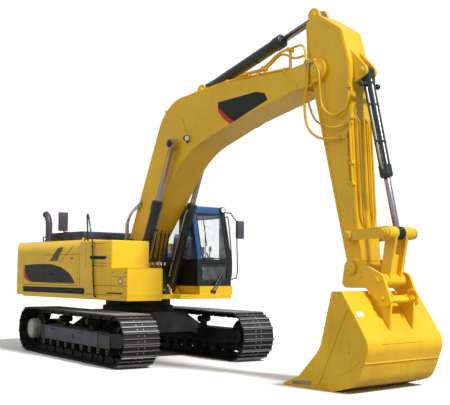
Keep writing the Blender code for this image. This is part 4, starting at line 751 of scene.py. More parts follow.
def bar(shape, points, radius, sides=12, surface=0, bend=0):
    """Adds a round bar through points, eased if bend is given, and returns its middle line."""
    path = [Vector(point) for point in points]
    if bend:
        path = eased(path, bend)
    way = (path[1] - path[0]).normalized()
    side = way.orthogonal().normalized()
    rings = []
    for index, point in enumerate(path):
        way = (path[min(index + 1, len(path) - 1)] - path[max(index - 1, 0)]).normalized()
        side = (side - way * side.dot(way)).normalized()
        other = way.cross(side)
        rings.append([shape.verts.new(point + (side * cos(2 * pi * step / sides)
                                               + other * sin(2 * pi * step / sides)) * radius)
                      for step in range(sides)])
    faces = [shape.faces.new(rings[0]), shape.faces.new(rings[-1])]
    for first, second in zip(rings, rings[1:]):
        for step in range(sides):
            following = (step + 1) % sides
            faces.append(shape.faces.new((first[step], first[following],
                                          second[following], second[step])))
    for face in faces:
        face.material_index = surface
    return path


# satin black enamel, faintly green in the light, with pale dust
black = enamel("black_enamel", "#191E1F", "#232B2D", "#454A48", 0.32, (0.0, 0.25))

rails = bmesh.new()
RAIL_LINE = ((-3.98, 2.39), (-3.98, 2.47), (-3.94, 2.50), (-3.40, 2.50), (-2.94, 2.50), (-2.90, 2.47),
             (-2.90, 2.39))
for y in (-1.02, 1.02):
    bar(rails, [(x, y, z) for x, z in RAIL_LINE], 0.013, bend=4)
finished("walkway_rails", rails, [black], "upper_structure")


# ---------------------------------------------------------------------------------------------
# Tank and tool box
# A folded steel tank with a filler neck, a hand recess and pressed lines; the tool box in front
# of it is the step up, with a lip to stand on and a non-slip tread on its lid.
# ---------------------------------------------------------------------------------------------

# white film of blank plates and tags, a little yellowed
white_film = cast_paint("white_film", "#F2F1EC", "#DEDCD2", 0.4, 20)


def circle(x, z, across, tall, count):
    """A round or oval outline about a middle."""
    return [(x + across * cos(2 * pi * step / count), z + tall * sin(2 * pi * step / count))
            for step in range(count)]


lay = skin_on(SIDE_FACE, -1)
tank_parts = bmesh.new()
# the hand recess is a yellow rim round a black sheet of painted shade for its inside; of the three dark strips,
# the lower two are pressed lines whose dark is painted shade in their creases
lay(tank_parts, [(-1.234, 2.052), (-0.571, 2.036), (-0.655, 1.951), (-1.231, 1.962)], 0.006, 0)
lay(tank_parts, [(-1.218, 2.038), (-0.605, 2.024), (-0.668, 1.963), (-1.216, 1.974)], 0.0065, 1)
lay(tank_parts, strip([(-1.09, 2.275), (-0.70, 2.266)], 0.008), 0.0008, 1)
lay(tank_parts, strip([(-1.08, 1.897), (-0.63, 1.883)], 0.010), 0.0008, 1)
lay(tank_parts, strip([(-1.08, 1.845), (-0.63, 1.833)], 0.010), 0.0008, 1)
finished("tank_recess", tank_parts, [yellow, joint_black_and_recess_shade], "upper_structure", edge=0.002)

neck = bmesh.new()
turned(neck, [(0.0, 0.075), (0.020, 0.075), (0.022, 0.060), (0.050, 0.058), (0.052, 0.070),
              (0.078, 0.070), (0.084, 0.062)], (-0.95, -1.05, 2.329), (0, 0, 1), 28)
bolt_ring(neck, (-0.95, -1.05, 2.347), (0, 0, 1), 0.066, 6, 0.006)
turned(neck, [(0.0, 0.062), (0.016, 0.062), (0.018, 0.046), (0.040, 0.044), (0.046, 0.036)],
       (-0.72, -0.85, 2.329), (0, 0, 1), 28)
finished("filler_caps", neck, [rubber], "upper_structure")

box_parts = bmesh.new()
lay(box_parts, strip([(-0.435, 1.633), (0.075, 1.633)], 0.008), 0.0008, 1)
lay(box_parts, strip([(-1.07, 1.463), (0.075, 1.463)], 0.008), 0.0008, 1)
# the handle's recess is a yellow rim round a black sheet of painted shade for its inside
lay(box_parts, oblong((-0.64, 1.300), (-0.04, 1.375), 0.012), 0.006, 0)
lay(box_parts, oblong((-0.61, 1.312), (-0.07, 1.340), 0.010), 0.0065, 1)
lay(box_parts, circle(-0.147, 1.552, 0.075, 0.062, 32), 0.0020, 2)
lay(box_parts, circle(-0.147, 1.552, 0.048, 0.038, 32), 0.0026, 3)
# two small black slots under the lid's edge: painted shade for the openings
for x in (-0.40, 0.04):
    lay(box_parts, oblong((x - 0.012, 1.70), (x + 0.012, 1.724), 0.008), 0.004, 1)
finished("tool_box_trim", box_parts, [yellow, joint_black_and_recess_shade, red_film, white_film], "upper_structure",
         edge=0.0015)

tread = bmesh.new()
for row in range(5):
    for column in range(9):
        middle = (-0.36 + row * 0.098, -1.38 + column * 0.077)
        turned(tread, [(0.0, 0.020), (0.003, 0.016)], (*middle, 1.800), (0, 0, 1), 10)
finished("lid_tread", tread, [rubber], "tool_box_lid")


# ---------------------------------------------------------------------------------------------
# Exhaust, handrail and mirrors
# A bent tail pipe of bare steel gone dark with heat, a bent tube to hold on the way up, and two
# mirrors in moulded shells.
# ---------------------------------------------------------------------------------------------

# heat-stained pipe: purple-grey scale with brown patches of 50 mm
hot_steel = steel("heat_stained_steel", "#3E3A44", "#5E5559", 0.45, 50, metallic=0.5)
# grey moulded plastic of the mirror shells, with a soft violet cast and fine grain
mirror_shell = cast_paint("mirror_shell", "#4A4452", "#5A5462", 0.45, 3)
# silvered glass: clear and sharp, faintly mottled with dried dew
silvered = steel("silvered_glass", "#9FA6AD", "#C2C8CE", 0.16, 120)

dressed("exhaust", [hot_steel], edge=0.004, sharp=40.0)
dressed("handrail_right", [black], edge=0.0, sharp=60.0)


def end_on(a, b, c):
    """An outline of (y, z), drawn out along the machine."""
    return Vector((c, a, b))


MIRROR_HEADS = {"mirror_right": Vector((-1.93, -1.70, 2.73)), "mirror_left": Vector((-0.37, 1.69, 2.64))}
for name, head in MIRROR_HEADS.items():
    dressed(name, [black, mirror_shell], edge=0.003, sharp=40.0,
            paint=lambda face: int((face.calc_center_median() - head).length < 0.22))
    glass = bmesh.new()
    prism(glass, oblong((head.y - 0.085, head.z - 0.165), (head.y + 0.085, head.z + 0.165), 0.03),
          head.x - 0.0375, head.x - 0.030, end_on)
    finished(name + "_glass", glass, [silvered], "upper_structure")

clamps = bmesh.new()
for z in (1.45, 1.85, 2.22):
    spot = Vector((-1.045 - 0.09 * (z - 1.26), -1.49, z))
    prism(clamps, oblong((spot.x - 0.028, z - 0.014), (spot.x + 0.028, z + 0.014), 0.008),
          -1.512, -1.486, side_on)
finished("handrail_clamps", clamps, [black], "upper_structure", edge=0.002)


# ---------------------------------------------------------------------------------------------
# Boom
# A bent box of welded plate.  Steel pipes run along its back under bolted clamps, a lamp sits on
# its right side, and a black painted panel with a red edge is left blank on each flank.
# ---------------------------------------------------------------------------------------------

def surface_of(name):
    """A node's skin, to lay things on."""
    shape = bmesh.new()
    shape.from_mesh(nodes[name].data)
    skin = BVHTree.FromBMesh(shape)
    shape.free()
    return skin


boom_skin = surface_of("boom")


def boom_top(x, y):
    """The highest point of the boom at x and y."""
    return boom_skin.ray_cast(Vector((x, y, cad_high.z + 1)), Vector((0, 0, -1)))[0]


# a hexagon bolt's head, as its turned profile
BOLT_HEAD = [(0.0, 0.013), (0.008, 0.013), (0.010, 0.009)]

# silver-grey zinc on pipes and fittings, in dull patches of 80 mm
zinc = steel("zinc_plated_pipe", "#A9A79E", "#CFCDC4", 0.34, 80)
# clear lens of a lamp over a bright reflector: white with a soft cloud
lens_white = cast_paint("lamp_lens", "#F4F5F7", "#D8DCE0", 0.15, 40)


def pin_cap(shape, middle, direction, radius, bolts=3, surface=0, bolt_surface=0):
    """Adds the end of a pin: a domed head with its collar and a ring of bolts."""
    way = Vector(direction).normalized()
    turned(shape, [(-0.004, radius * 1.25), (0.010, radius * 1.25), (0.012, radius), (0.022, radius),
                   (0.026, radius * 0.86)], middle, way, 28, surface)
    bolt_ring(shape, Vector(middle) + way * 0.024, way, radius * 0.55, bolts, radius * 0.16,
              bolt_surface)


for side, sign in SIDES.items():
    lay = skin_on(0.33, sign)
    panel = bmesh.new()
    lay(panel, [(1.256, 4.861), (2.294, 4.889), (2.509, 4.829), (2.575, 4.700), (1.600, 4.412),
                (1.42, 4.53), (1.27, 4.68)], 0.0016, 0)
    lay(panel, [(1.262, 4.735), (1.270, 4.68), (1.42, 4.53), (1.600, 4.412), (1.700, 4.441),
                (1.48, 4.590), (1.310, 4.735)], 0.0022, 1)
    lay(panel, strip([(0.178, 4.729), (0.358, 4.39)], 0.006), 0.001, 2)
    lay(panel, strip([(2.795, 5.053), (2.752, 4.646), (3.30, 4.465)], 0.008), 0.001, 3)
    lay(panel, circle(0.666, 4.264, 0.045, 0.045, 28), 0.002, 3)
    finished(f"{side}_boom_panel", panel, [black_film, red_film, joint_black_and_recess_shade, arm_yellow], "boom_body")

    ends = bmesh.new()
    outward = Vector((0, sign, 0))
    nose = pins["stick_curl"]
    pin_cap(ends, nose + outward * 0.317, outward, 0.105, 4)
    pin_cap(ends, pins["stick_cylinder_tilt"] + outward * 0.121, outward, 0.055, 3)
    finished(f"{side}_boom_pin_caps", ends, [arm_yellow], "boom_body", edge=0.002)

    foot = bmesh.new()
    pin_cap(foot, pins["boom_lift"] + outward * 0.431, outward, 0.095, 4)
    pin_cap(foot, pins["boom_cylinder_tilt"] + outward * 0.557, outward, 0.060, 3)
    finished(f"{side}_boom_foot_caps", foot, [yellow], "upper_structure", edge=0.002)

pipes = bmesh.new()
clips = bmesh.new()
for y in (-0.27, -0.21, 0.21, 0.27):
    run = [boom_top(-0.62 + step * 0.14, y) + Vector((0, 0, 0.045)) for step in range(27)]
    bar(pipes, run, 0.019, 10, bend=2)
# two pipes rise over the stick cylinder's gland and come down to the hoses at the nose
for y in (-0.285, -0.215):
    run = [boom_top(x, y) + Vector((0, 0, lift)) for x, lift in
           ((1.70, 0.045), (1.95, 0.110), (2.40, 0.135), (2.80, 0.330), (3.10, 0.360))]
    run += [run[-1] + Vector((0.30, -0.02, -0.02)), Vector((3.53, y - 0.09, 5.20))]
    bar(pipes, run, 0.020, 10, bend=4)
for x, tall in ((1.98, 0.12), (2.42, 0.15), (3.05, 0.37)):
    foot = boom_top(x, -0.25)
    prism(clips, oblong((-0.030, -0.01), (0.030, tall), 0.010), -0.256, -0.244,
          lambda a, b, c: foot + Vector((a, c + 0.25, b)))
    prism(clips, oblong((-0.028, tall - 0.05), (0.028, tall + 0.02), 0.010), -0.315, -0.185,
          lambda a, b, c: foot + Vector((a, c + 0.25, b)))
for x in (-0.35, 0.55, 1.45, 2.30, 2.95):
    for sign in (-1, 1):
        here = boom_top(x, sign * 0.24)
        there = boom_top(x + 0.05, sign * 0.24)
        ahead = (there - here).normalized()
        out = Vector((-ahead.z, 0, ahead.x))
        prism(clips, oblong((-0.028, -0.004), (0.028, 0.072), 0.010),
              sign * 0.24 - 0.062, sign * 0.24 + 0.062,
              lambda a, b, c: here + ahead * a + out * b + Vector((0, c - here.y, 0)))
        turned(clips, BOLT_HEAD, here + out * 0.070, out, 6, 1)
finished("boom_pipes", pipes, [arm_yellow], "boom_body")
finished("boom_pipe_clips", clips, [arm_yellow, zinc], "boom_body", edge=0.002)

lamp = bmesh.new()
spot = Vector((0.369, -0.392, 4.298))
way = Vector((0.86, -0.12, -0.20)).normalized()
turned(lamp, [(-0.030, 0.030), (0.0, 0.052), (0.055, 0.060), (0.065, 0.058)], spot, way, 24)
turned(lamp, [(0.0, 0.052), (0.010, 0.045)], spot + way * 0.060, way, 24, 1)
prism(lamp, oblong((0.345, 4.20), (0.385, 4.30), 0.012), -0.345, -0.325, side_on)
finished("boom_lamp", lamp, [rubber, lens_white], "boom_body")


# ---------------------------------------------------------------------------------------------
# Cylinders
# Honed steel barrels under greenish black enamel with bolted glands, and hard-chromed rods that
# run in them.  A zinc-plated pipe feeds the rod end of each.
# ---------------------------------------------------------------------------------------------

# barrel enamel: satin black with a green cast, almost free of dust
barrel_black = enamel("barrel_enamel", "#1B2526", "#243133", "#3E4644", 0.26, (0.0, 0.18))
# hard chrome: smooth and bright with a cool violet cast, and a fine oil film in patches
chrome = steel("hard_chrome", "#A9A4B8", "#CFCBDC", 0.18, 300)

# from each barrel's pin to its rod's eye, with the machine at rest
BOOM_STROKE = Vector((1.1994, 0, 2.8302))
STICK_STROKE = Vector((2.9559, 0, 0.7815))
BUCKET_STROKE = Vector((0.5558, 0, -2.5625))

for name in ("boom_barrel_left", "boom_barrel_right", "stick_barrel", "bucket_barrel"):
    dressed(name, [barrel_black], edge=0.003, sharp=40.0)
for name in ("boom_rod_left", "boom_rod_right", "stick_rod", "bucket_rod"):
    dressed(name, [chrome], edge=0.0, sharp=40.0)


def dress_cylinder(name, pin, stroke, length, y, radius, body, feed):
    """The gland's bolts, its lip and the feed pipe with its elbow, along one barrel."""
    way = stroke.normalized()
    base = Vector((pin.x, y, pin.z))
    side = Vector((0, 1, 0)).cross(way).normalized()
    out = (side * feed[0] + Vector((0, feed[1], 0))).normalized()
    end = base + way * length
    parts = bmesh.new()
    turned(parts, [(-0.002, radius * 1.06), (0.018, radius * 1.04), (0.026, radius * 0.84)], end, way, 28)
    bolt_ring(parts, end + way * 0.014, way, radius * 0.93, 10, radius * 0.085, 1)
    turned(parts, [(0.0, radius * 1.05), (0.045, radius * 1.05)], base + way * 0.20, way, 28)
    bar(parts, [base + way * 0.30 + out * radius * 0.9, base + way * 0.30 + out * (radius + 0.038),
                base + way * 0.36 + out * (radius + 0.042),
                base + way * (length - 0.26) + out * (radius + 0.042),
                base + way * (length - 0.20) + out * (radius + 0.038),
                base + way * (length - 0.10) + out * (radius + 0.006)], 0.016, 10, 2)
    for share in (0.33, 0.68):
        turned(parts, [(0.0, radius * 1.035), (0.036, radius * 1.035)], base + way * length * share,
               way, 28)
        spot = base + way * (length * share + 0.018)
        turned(parts, [(0.0, 0.024), (0.050, 0.024)], spot + out * (radius + 0.016), out, 10)
    finished(name, parts, [barrel_black, black, zinc], body, edge=0.0015)


for side, sign in SIDES.items():
    dress_cylinder(f"boom_cylinder_{side}_fittings", pins["boom_cylinder_tilt"], BOOM_STROKE, 1.86,
                   sign * 0.44, 0.096, "boom_cylinder_barrels", (0.2, -sign))
dress_cylinder("stick_cylinder_fittings", pins["stick_cylinder_tilt"], STICK_STROKE, 2.17, 0.0, 0.108,
               "stick_cylinder_barrel", (-0.6, 0.8))
dress_cylinder("bucket_cylinder_fittings", pins["bucket_cylinder_tilt"], BUCKET_STROKE, 1.72, 0.0,
               0.088, "bucket_cylinder_barrel", (-0.25, -1.0))

arms = bmesh.new()
spot = pins["bucket_cylinder_tilt"] + BUCKET_STROKE.normalized() * 0.23
bar(arms, [spot + Vector((0, -0.22, 0)), spot + Vector((0, 0.22, 0))], 0.034, 14)
for sign in (-1, 1):
    turned(arms, [(0.0, 0.046), (0.05, 0.046), (0.055, 0.036)], spot + Vector((0, sign * 0.17, 0)),
           (0, sign, 0), 8)
finished("bucket_cylinder_ports", arms, [barrel_black], "bucket_cylinder_barrel",
         edge=0.002)

eyes = bmesh.new()
for y in (-0.44, 0.44):
    for hand in (-1, 1):
        eye = pins["boom_cylinder_tilt"] + BOOM_STROKE
        pin_cap(eyes, (eye.x, y + hand * 0.081, eye.z), (0, hand, 0), 0.060, 3)
finished("boom_rod_eyes", eyes, [barrel_black], "boom_cylinder_rods", edge=0.0015)


# ---------------------------------------------------------------------------------------------
# Stick
# A tapering box of plate with thick edge strips along its flanks, the lugs of two cylinders, and
# yellow-painted pipes down its front to the linkage.
# ---------------------------------------------------------------------------------------------

stick_way = (pins["bucket_curl"] - pins["stick_curl"]).normalized()
stick_out = Vector((-stick_way.z, 0, stick_way.x))
STICK_TAPER = 0.1776
SMALL_BOLT_HEAD = [(0.0, 0.012), (0.007, 0.012), (0.009, 0.008)]


def on_stick(u, v, y):
    """A place along the stick from the boom's nose, out of its line, and across it."""
    return pins["stick_curl"] + stick_way * u + stick_out * v + Vector((0, y, 0))


for side, sign in SIDES.items():
    edges = bmesh.new()
    low, high = sorted((sign * 0.226, sign * 0.241))
    for line, width in (([(-0.86, 0.17), (-0.485, 0.555), (0.10, 0.575), (2.36, 0.180),
                          (3.00, 0.125)], 0.050),
                        ([(-0.84, -0.085), (-0.32, -0.175), (0.25, -0.165), (2.95, -0.132)], 0.036)):
        prism(edges, strip(line, width), low, high, on_stick)
    pin_cap(edges, on_stick(-1.03, 0.0, sign * 0.131), (0, sign, 0), 0.060, 3)
    pin_cap(edges, on_stick(0.30, 0.74, sign * 0.131), (0, sign, 0), 0.055, 3)
    finished(f"{side}_stick_edges", edges, [arm_yellow], "stick_body", edge=0.004)

pipes = bmesh.new()
clips = bmesh.new()
for y in (-0.17, -0.11, 0.11, 0.17):
    run = [on_stick(0.95 + step * 0.12, 0.515 - (0.12 * step) * STICK_TAPER, y) for step in range(14)]
    run[0] -= stick_out * 0.06
    bar(pipes, run + [on_stick(2.66, 0.195, y * 0.8), on_stick(2.72, 0.14, y * 0.7)], 0.017, 10, bend=2)
for u in (1.10, 1.65, 2.20):
    for sign in (-1, 1):
        out = 0.635 - STICK_TAPER * u
        prism(clips, oblong((u - 0.030, out - 0.14), (u + 0.030, out - 0.060), 0.010),
              sign * 0.14 - 0.060, sign * 0.14 + 0.060, on_stick)
        turned(clips, SMALL_BOLT_HEAD, on_stick(u, out - 0.062, sign * 0.14), stick_out, 6, 1)
for line in ([(1.17, 0.33), (1.35, 0.30), (2.00, 0.185)], [(0.98, 0.47), (1.20, 0.40), (2.06, 0.250)]):
    bar(pipes, [on_stick(a, b, -0.262) for a, b in line], 0.018, 10, bend=3)
finished("stick_pipes", pipes, [arm_yellow], "stick_body")
for u, v in ((1.20, 0.325), (1.62, 0.252), (1.98, 0.19), (1.70, 0.315), (2.02, 0.256), (1.00, 0.462)):
    prism(clips, oblong((u - 0.030, v - 0.032), (u + 0.030, v + 0.032), 0.010), -0.286, -0.228,
          on_stick)
    turned(clips, SMALL_BOLT_HEAD, on_stick(u, v, -0.285), (0, -1, 0), 6, 1)
finished("stick_pipe_clips", clips, [arm_yellow, zinc], "stick_body", edge=0.002)


# ---------------------------------------------------------------------------------------------
# Hoses at the boom's nose
# Reinforced rubber hoses in yellow sleeves hang in loops from the boom's pipes to the stick's, so
# that they can follow the stick; each end is crimped in a zinc-plated fitting.
# ---------------------------------------------------------------------------------------------

# yellow spiral sleeve over rubber: satin, with a fine rib every 8 mm that shows its winding
sleeve_yellow = cast_paint("yellow_hose_sleeve", "#EAB616", "#C8960F", 0.42, 8)
# black braided rubber hose with a dull bloom
hose_rubber = cast_paint("hose_rubber", "#0F0F10", "#1E1E1F", 0.55, 6)
# pale grey sleeve with a silver cast
sleeve_grey = cast_paint("grey_hose_sleeve", "#C9C8C6", "#9F9DA0", 0.35, 8)


def hose(name, points, radius, sleeve, body, other):
    """A free hose through points, over one joint, with a crimped fitting at each end."""
    shape = bmesh.new()
    path = bar(shape, points, radius, 12, bend=7)
    bmesh.ops.recalc_face_normals(shape, faces=shape.faces)
    mesh = bpy.data.meshes.new(name)
    shape.to_mesh(mesh)
    shape.free()
    mesh.materials.append(sleeve)
    mesh.shade_smooth()
    piece = bpy.data.objects.new(name, mesh)
    bpy.context.scene.collection.objects.link(piece)
    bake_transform(piece)
    for label, end, inner, host in (("start", path[0], path[2], body),
                                    ("finish", path[-1], path[-3], other)):
        fitting = bmesh.new()
        turned(fitting, [(-0.055, radius * 0.75), (-0.020, radius * 0.75), (-0.018, radius * 1.35),
                         (0.012, radius * 1.35), (0.014, radius * 1.15), (0.060, radius * 1.12)],
               end, inner - end, 6)
        finished(f"{name}_{label}", fitting, [zinc], host)


NOSE_LOOPS = {
    "outer": (0.021, [(3.548, -0.337, 5.150), (3.546, -0.365, 4.828), (3.510, -0.392, 4.466),
                      (3.575, -0.395, 4.100), (3.787, -0.380, 3.895), (4.048, -0.315, 3.845),
                      (4.215, -0.255, 3.862)]),
    "middle": (0.017, [(3.505, -0.337, 5.130), (3.528, -0.352, 4.720), (3.590, -0.362, 4.440),
                       (3.730, -0.362, 4.177), (4.002, -0.340, 4.030), (4.215, -0.285, 4.034),
                       (4.335, -0.250, 4.082)]),
    "inner": (0.018, [(3.650, -0.337, 5.190), (3.775, -0.342, 4.960), (3.805, -0.345, 4.620),
                      (3.862, -0.342, 4.373), (4.060, -0.325, 4.215), (4.235, -0.295, 4.262),
                      (4.315, -0.262, 4.420), (4.315, -0.251, 4.640)]),
}
for label, (radius, line) in NOSE_LOOPS.items():
    hose(f"nose_hose_{label}", line, radius, sleeve_yellow, "boom_body", "stick_body")
brackets = bmesh.new()
prism(brackets, oblong((3.46, 5.150), (3.70, 5.205), 0.012), -0.362, -0.305, side_on)
for x in (3.50, 3.60, 3.67):
    turned(brackets, BOLT_HEAD, (x, -0.361, 5.178), (0, -1, 0), 6, 1)
finished("nose_bracket", brackets, [arm_yellow, zinc], "boom_body", edge=0.003)
brackets = bmesh.new()
for x, z, y in ((4.235, 3.862, -0.280), (4.350, 4.085, -0.275), (4.315, 4.665, -0.278)):
    prism(brackets, oblong((x - 0.035, z - 0.035), (x + 0.035, z + 0.035), 0.010), y, -0.225, side_on)
finished("stick_brackets", brackets, [arm_yellow], "stick_body", edge=0.003)


# ---------------------------------------------------------------------------------------------
# Cab
# A frame of bent and welded tube under blue enamel, black below the waist and on the front
# pillar by the door, with flat bonded panes, a wiper, a work lamp and a black floor skirt.
# ---------------------------------------------------------------------------------------------


def two_tone(name, upper, lower, height, roughness):
    """Enamel in two colours that meet at a masked line at a height, with orange peel and dust."""
    material, tree, output = new_material(name)
    place = add(tree, "ShaderNodeTexCoord")
    parts = add(tree, "ShaderNodeSeparateXYZ", Vector=place.outputs["Object"])
    line = add(tree, "ShaderNodeMapRange", Value=parts.outputs["Z"], From_Min=height - 0.002,
               From_Max=height + 0.002)
    front = add(tree, "ShaderNodeMapRange", Value=parts.outputs["Y"], From_Min=1.378, From_Max=1.382)
    ahead = add(tree, "ShaderNodeMapRange", Value=parts.outputs["X"], From_Min=-0.692, From_Max=-0.688)
    pillar = add(tree, "ShaderNodeMath", {"operation": "MULTIPLY"}, i0=front.outputs[0],
                 i1=ahead.outputs[0])
    blue = add(tree, "ShaderNodeMath", {"operation": "SUBTRACT", "use_clamp": True}, i0=line.outputs[0],
               i1=pillar.outputs[0])
    cloud = add(tree, "ShaderNodeTexNoise", Vector=place.outputs["Object"], Scale=2.2, Detail=4.0)
    tones = [add(tree, "ShaderNodeMix", {"data_type": "RGBA"}, i0=cloud.outputs["Fac"],
                 i6=linear(pair[0]), i7=linear(pair[1])) for pair in (lower, upper)]
    colour = add(tree, "ShaderNodeMix", {"data_type": "RGBA"}, i0=blue.outputs[0],
                 i6=tones[0].outputs[2], i7=tones[1].outputs[2])
    peel = add(tree, "ShaderNodeTexNoise", Vector=place.outputs["Object"], Scale=160.0)
    bump = add(tree, "ShaderNodeBump", Height=peel.outputs["Fac"], Strength=0.05, Distance=0.002)
    dull = add(tree, "ShaderNodeMapRange", Value=cloud.outputs["Fac"], To_Min=roughness - 0.05,
               To_Max=roughness + 0.12)
    surface = add(tree, "ShaderNodeBsdfPrincipled", Base_Color=colour.outputs[2],
                  Roughness=dull.outputs[0], Coat_Weight=0.3, Coat_Roughness=0.1, Normal=bump.outputs[0])
    tree.links.new(surface.outputs[0], output.inputs["Surface"])
    return material


# glossy blue over satin black, split by a masked line at the waist
cab_paint = two_tone("cab_enamel", ("#2A578E", "#1F4477"), ("#101214", "#1A1C1F"), 2.0, 0.28)
# dark grey moulded trim of the consoles, with a fine leather grain of 3 mm
inner_trim = cast_paint("inner_trim", "#26292E", "#34383E", 0.6, 3)

dressed("cab_shell", [cab_paint], edge=0.010)
dressed("cab_door", [cab_paint], edge=0.006)

# tinted safety glass: nearly clear, with a faint green-grey body and a film of dust in swirls
pane, tree, output = new_material("cab_glass")
place = add(tree, "ShaderNodeTexCoord")
swirl = add(tree, "ShaderNodeTexNoise", Vector=place.outputs["Object"], Scale=6.0, Detail=5.0)
film = add(tree, "ShaderNodeMapRange", Value=swirl.outputs["Fac"], From_Min=0.3, From_Max=0.8,
           To_Min=0.05, To_Max=0.13)
dull = add(tree, "ShaderNodeMapRange", Value=swirl.outputs["Fac"], To_Min=0.03, To_Max=0.10)
glass = add(tree, "ShaderNodeBsdfPrincipled", Base_Color=linear("#C9D6D8"), Roughness=dull.outputs[0],
            Alpha=film.outputs[0])
tree.links.new(glass.outputs[0], output.inputs["Surface"])
for name in ("windscreen", "lower_screen", "side_window", "rear_window", "door_window"):
    nodes[name].material_slots[0].material = pane

CAB_FRONT = -0.41
SCREEN_BEND = 2.10
CAB_TOP = 3.12
SCREEN_LEAN = 0.24


def on_cab_front(y, z):
    """A place just proud of the cab's front, which leans back above the bend."""
    lean = max(0.0, z - SCREEN_BEND) / (CAB_TOP - SCREEN_BEND) * SCREEN_LEAN
    return Vector((CAB_FRONT - lean + 0.004, y, z))


rubber_seals = bmesh.new()
for low, high in (((0.68, 2.02), (1.37, 2.94)), ((0.68, 1.57), (1.37, 1.90))):
    outer = [on_cab_front(y, z) for y, z in oblong(low, high, 0.05)]
    for first, second in zip(outer, outer[1:] + outer[:1]):
        bar(rubber_seals, [first, second], 0.010, 8)
finished("windscreen_seals", rubber_seals, [rubber], "upper_structure")

wiper = bmesh.new()
bar(wiper, [(-0.402, 0.74, 2.02), (-0.385, 0.75, 2.06), (-0.455, 0.80, 2.50), (-0.50, 0.82, 2.70)],
    0.008, 8, bend=3)
bar(wiper, [(-0.415, 0.81, 2.28), (-0.565, 0.83, 2.90)], 0.010, 8)
turned(wiper, [(0.0, 0.030), (0.03, 0.028), (0.035, 0.016)], (-0.412, 0.74, 2.00), (1, 0, 0), 16)
finished("wiper", wiper, [rubber], "upper_structure")

lamp = bmesh.new()
spot = Vector((-0.615, 1.40, 3.06))
way = Vector((0.97, -0.10, -0.10)).normalized()
turned(lamp, [(-0.045, 0.035), (-0.03, 0.060), (0.030, 0.068), (0.040, 0.066)], spot, way, 24)
turned(lamp, [(0.0, 0.058), (0.008, 0.050)], spot + way * 0.037, way, 24, 1)
for y in (1.345, 1.443):
    prism(lamp, oblong((-0.70, 3.02), (-0.60, 3.115), 0.012), y, y + 0.012, side_on, 2)
finished("cab_lamp", lamp, [rubber, lens_white, yellow], "upper_structure", edge=0.002)

steps = bmesh.new()
bar(steps, [(-0.39, 1.20, 1.70), (-0.37, 1.12, 1.60), (-0.345, 0.90, 1.34)], 0.022, 10, bend=3)
bar(steps, [(-0.39, 1.26, 1.70), (-0.37, 1.18, 1.58), (-0.345, 0.97, 1.33)], 0.016, 10, bend=3)
for y, z in ((0.90, 1.34), (0.97, 1.33)):
    turned(steps, [(0.0, 0.034), (0.05, 0.034)], (-0.345, y, z - 0.02), (0, 0, 1), 14)
finished("front_tie_rods", steps, [black], "upper_structure", edge=0.002)

grab = bmesh.new()
bar(grab, [(-0.60, 1.485, 2.90), (-0.56, 1.525, 2.86), (-0.46, 1.53, 2.10), (-0.46, 1.53, 1.66),
           (-0.47, 1.485, 1.62)], 0.013, 10, bend=4)
finished("cab_grab_rail", grab, [black], "upper_structure")

door_parts = bmesh.new()
lay = skin_on(1.48, 1)
lay(door_parts, oblong((-0.83, 1.86), (-0.72, 1.91), 0.012), 0.010, 0)
lay(door_parts, oblong((-0.82, 1.872), (-0.75, 1.898), 0.008), 0.022, 0)
lay(door_parts, oblong((-1.55, 1.60), (-0.78, 1.63), 0.010), 0.004, 0)
finished("door_handle", door_parts, [rubber], "operator_door", edge=0.003)


# ---------------------------------------------------------------------------------------------
# The operator's seat and controls
# A foam seat in woven blue-grey cloth between two moulded consoles with a lever on each, two
# travel levers with pedals, and a screen beside the front pillar.
# ---------------------------------------------------------------------------------------------

# woven upholstery: blue-grey threads of 4 mm in a plain weave, soft and dull with a little sheen
cloth, tree, output = new_material("seat_cloth")
place = add(tree, "ShaderNodeTexCoord")
threads = [add(tree, "ShaderNodeTexWave", {"bands_direction": direction}, Vector=place.outputs["Object"],
               Scale=78.0, Distortion=1.2) for direction in ("Y", "Z")]
weave = add(tree, "ShaderNodeMath", {"operation": "MULTIPLY"}, i0=threads[0].outputs["Fac"],
            i1=threads[1].outputs["Fac"])
blotch = add(tree, "ShaderNodeTexNoise", Vector=place.outputs["Object"], Scale=7.0, Detail=4.0)
base = add(tree, "ShaderNodeMix", {"data_type": "RGBA"}, i0=blotch.outputs["Fac"], i6=linear("#5B7096"),
           i7=linear("#455A80"))
woven = add(tree, "ShaderNodeMix", {"data_type": "RGBA"}, i0=weave.outputs[0], i6=base.outputs[2],
            i7=linear("#7C90B2"))
bump = add(tree, "ShaderNodeBump", Height=weave.outputs[0], Strength=0.4, Distance=0.002)
surface = add(tree, "ShaderNodeBsdfPrincipled", Base_Color=woven.outputs[2], Roughness=0.88,
              Sheen_Weight=0.3, Normal=bump.outputs[0])
tree.links.new(surface.outputs[0], output.inputs["Surface"])


SEAT_Y = 1.025
WAIST = 0.012
CHANNEL_DEPTH = 0.010


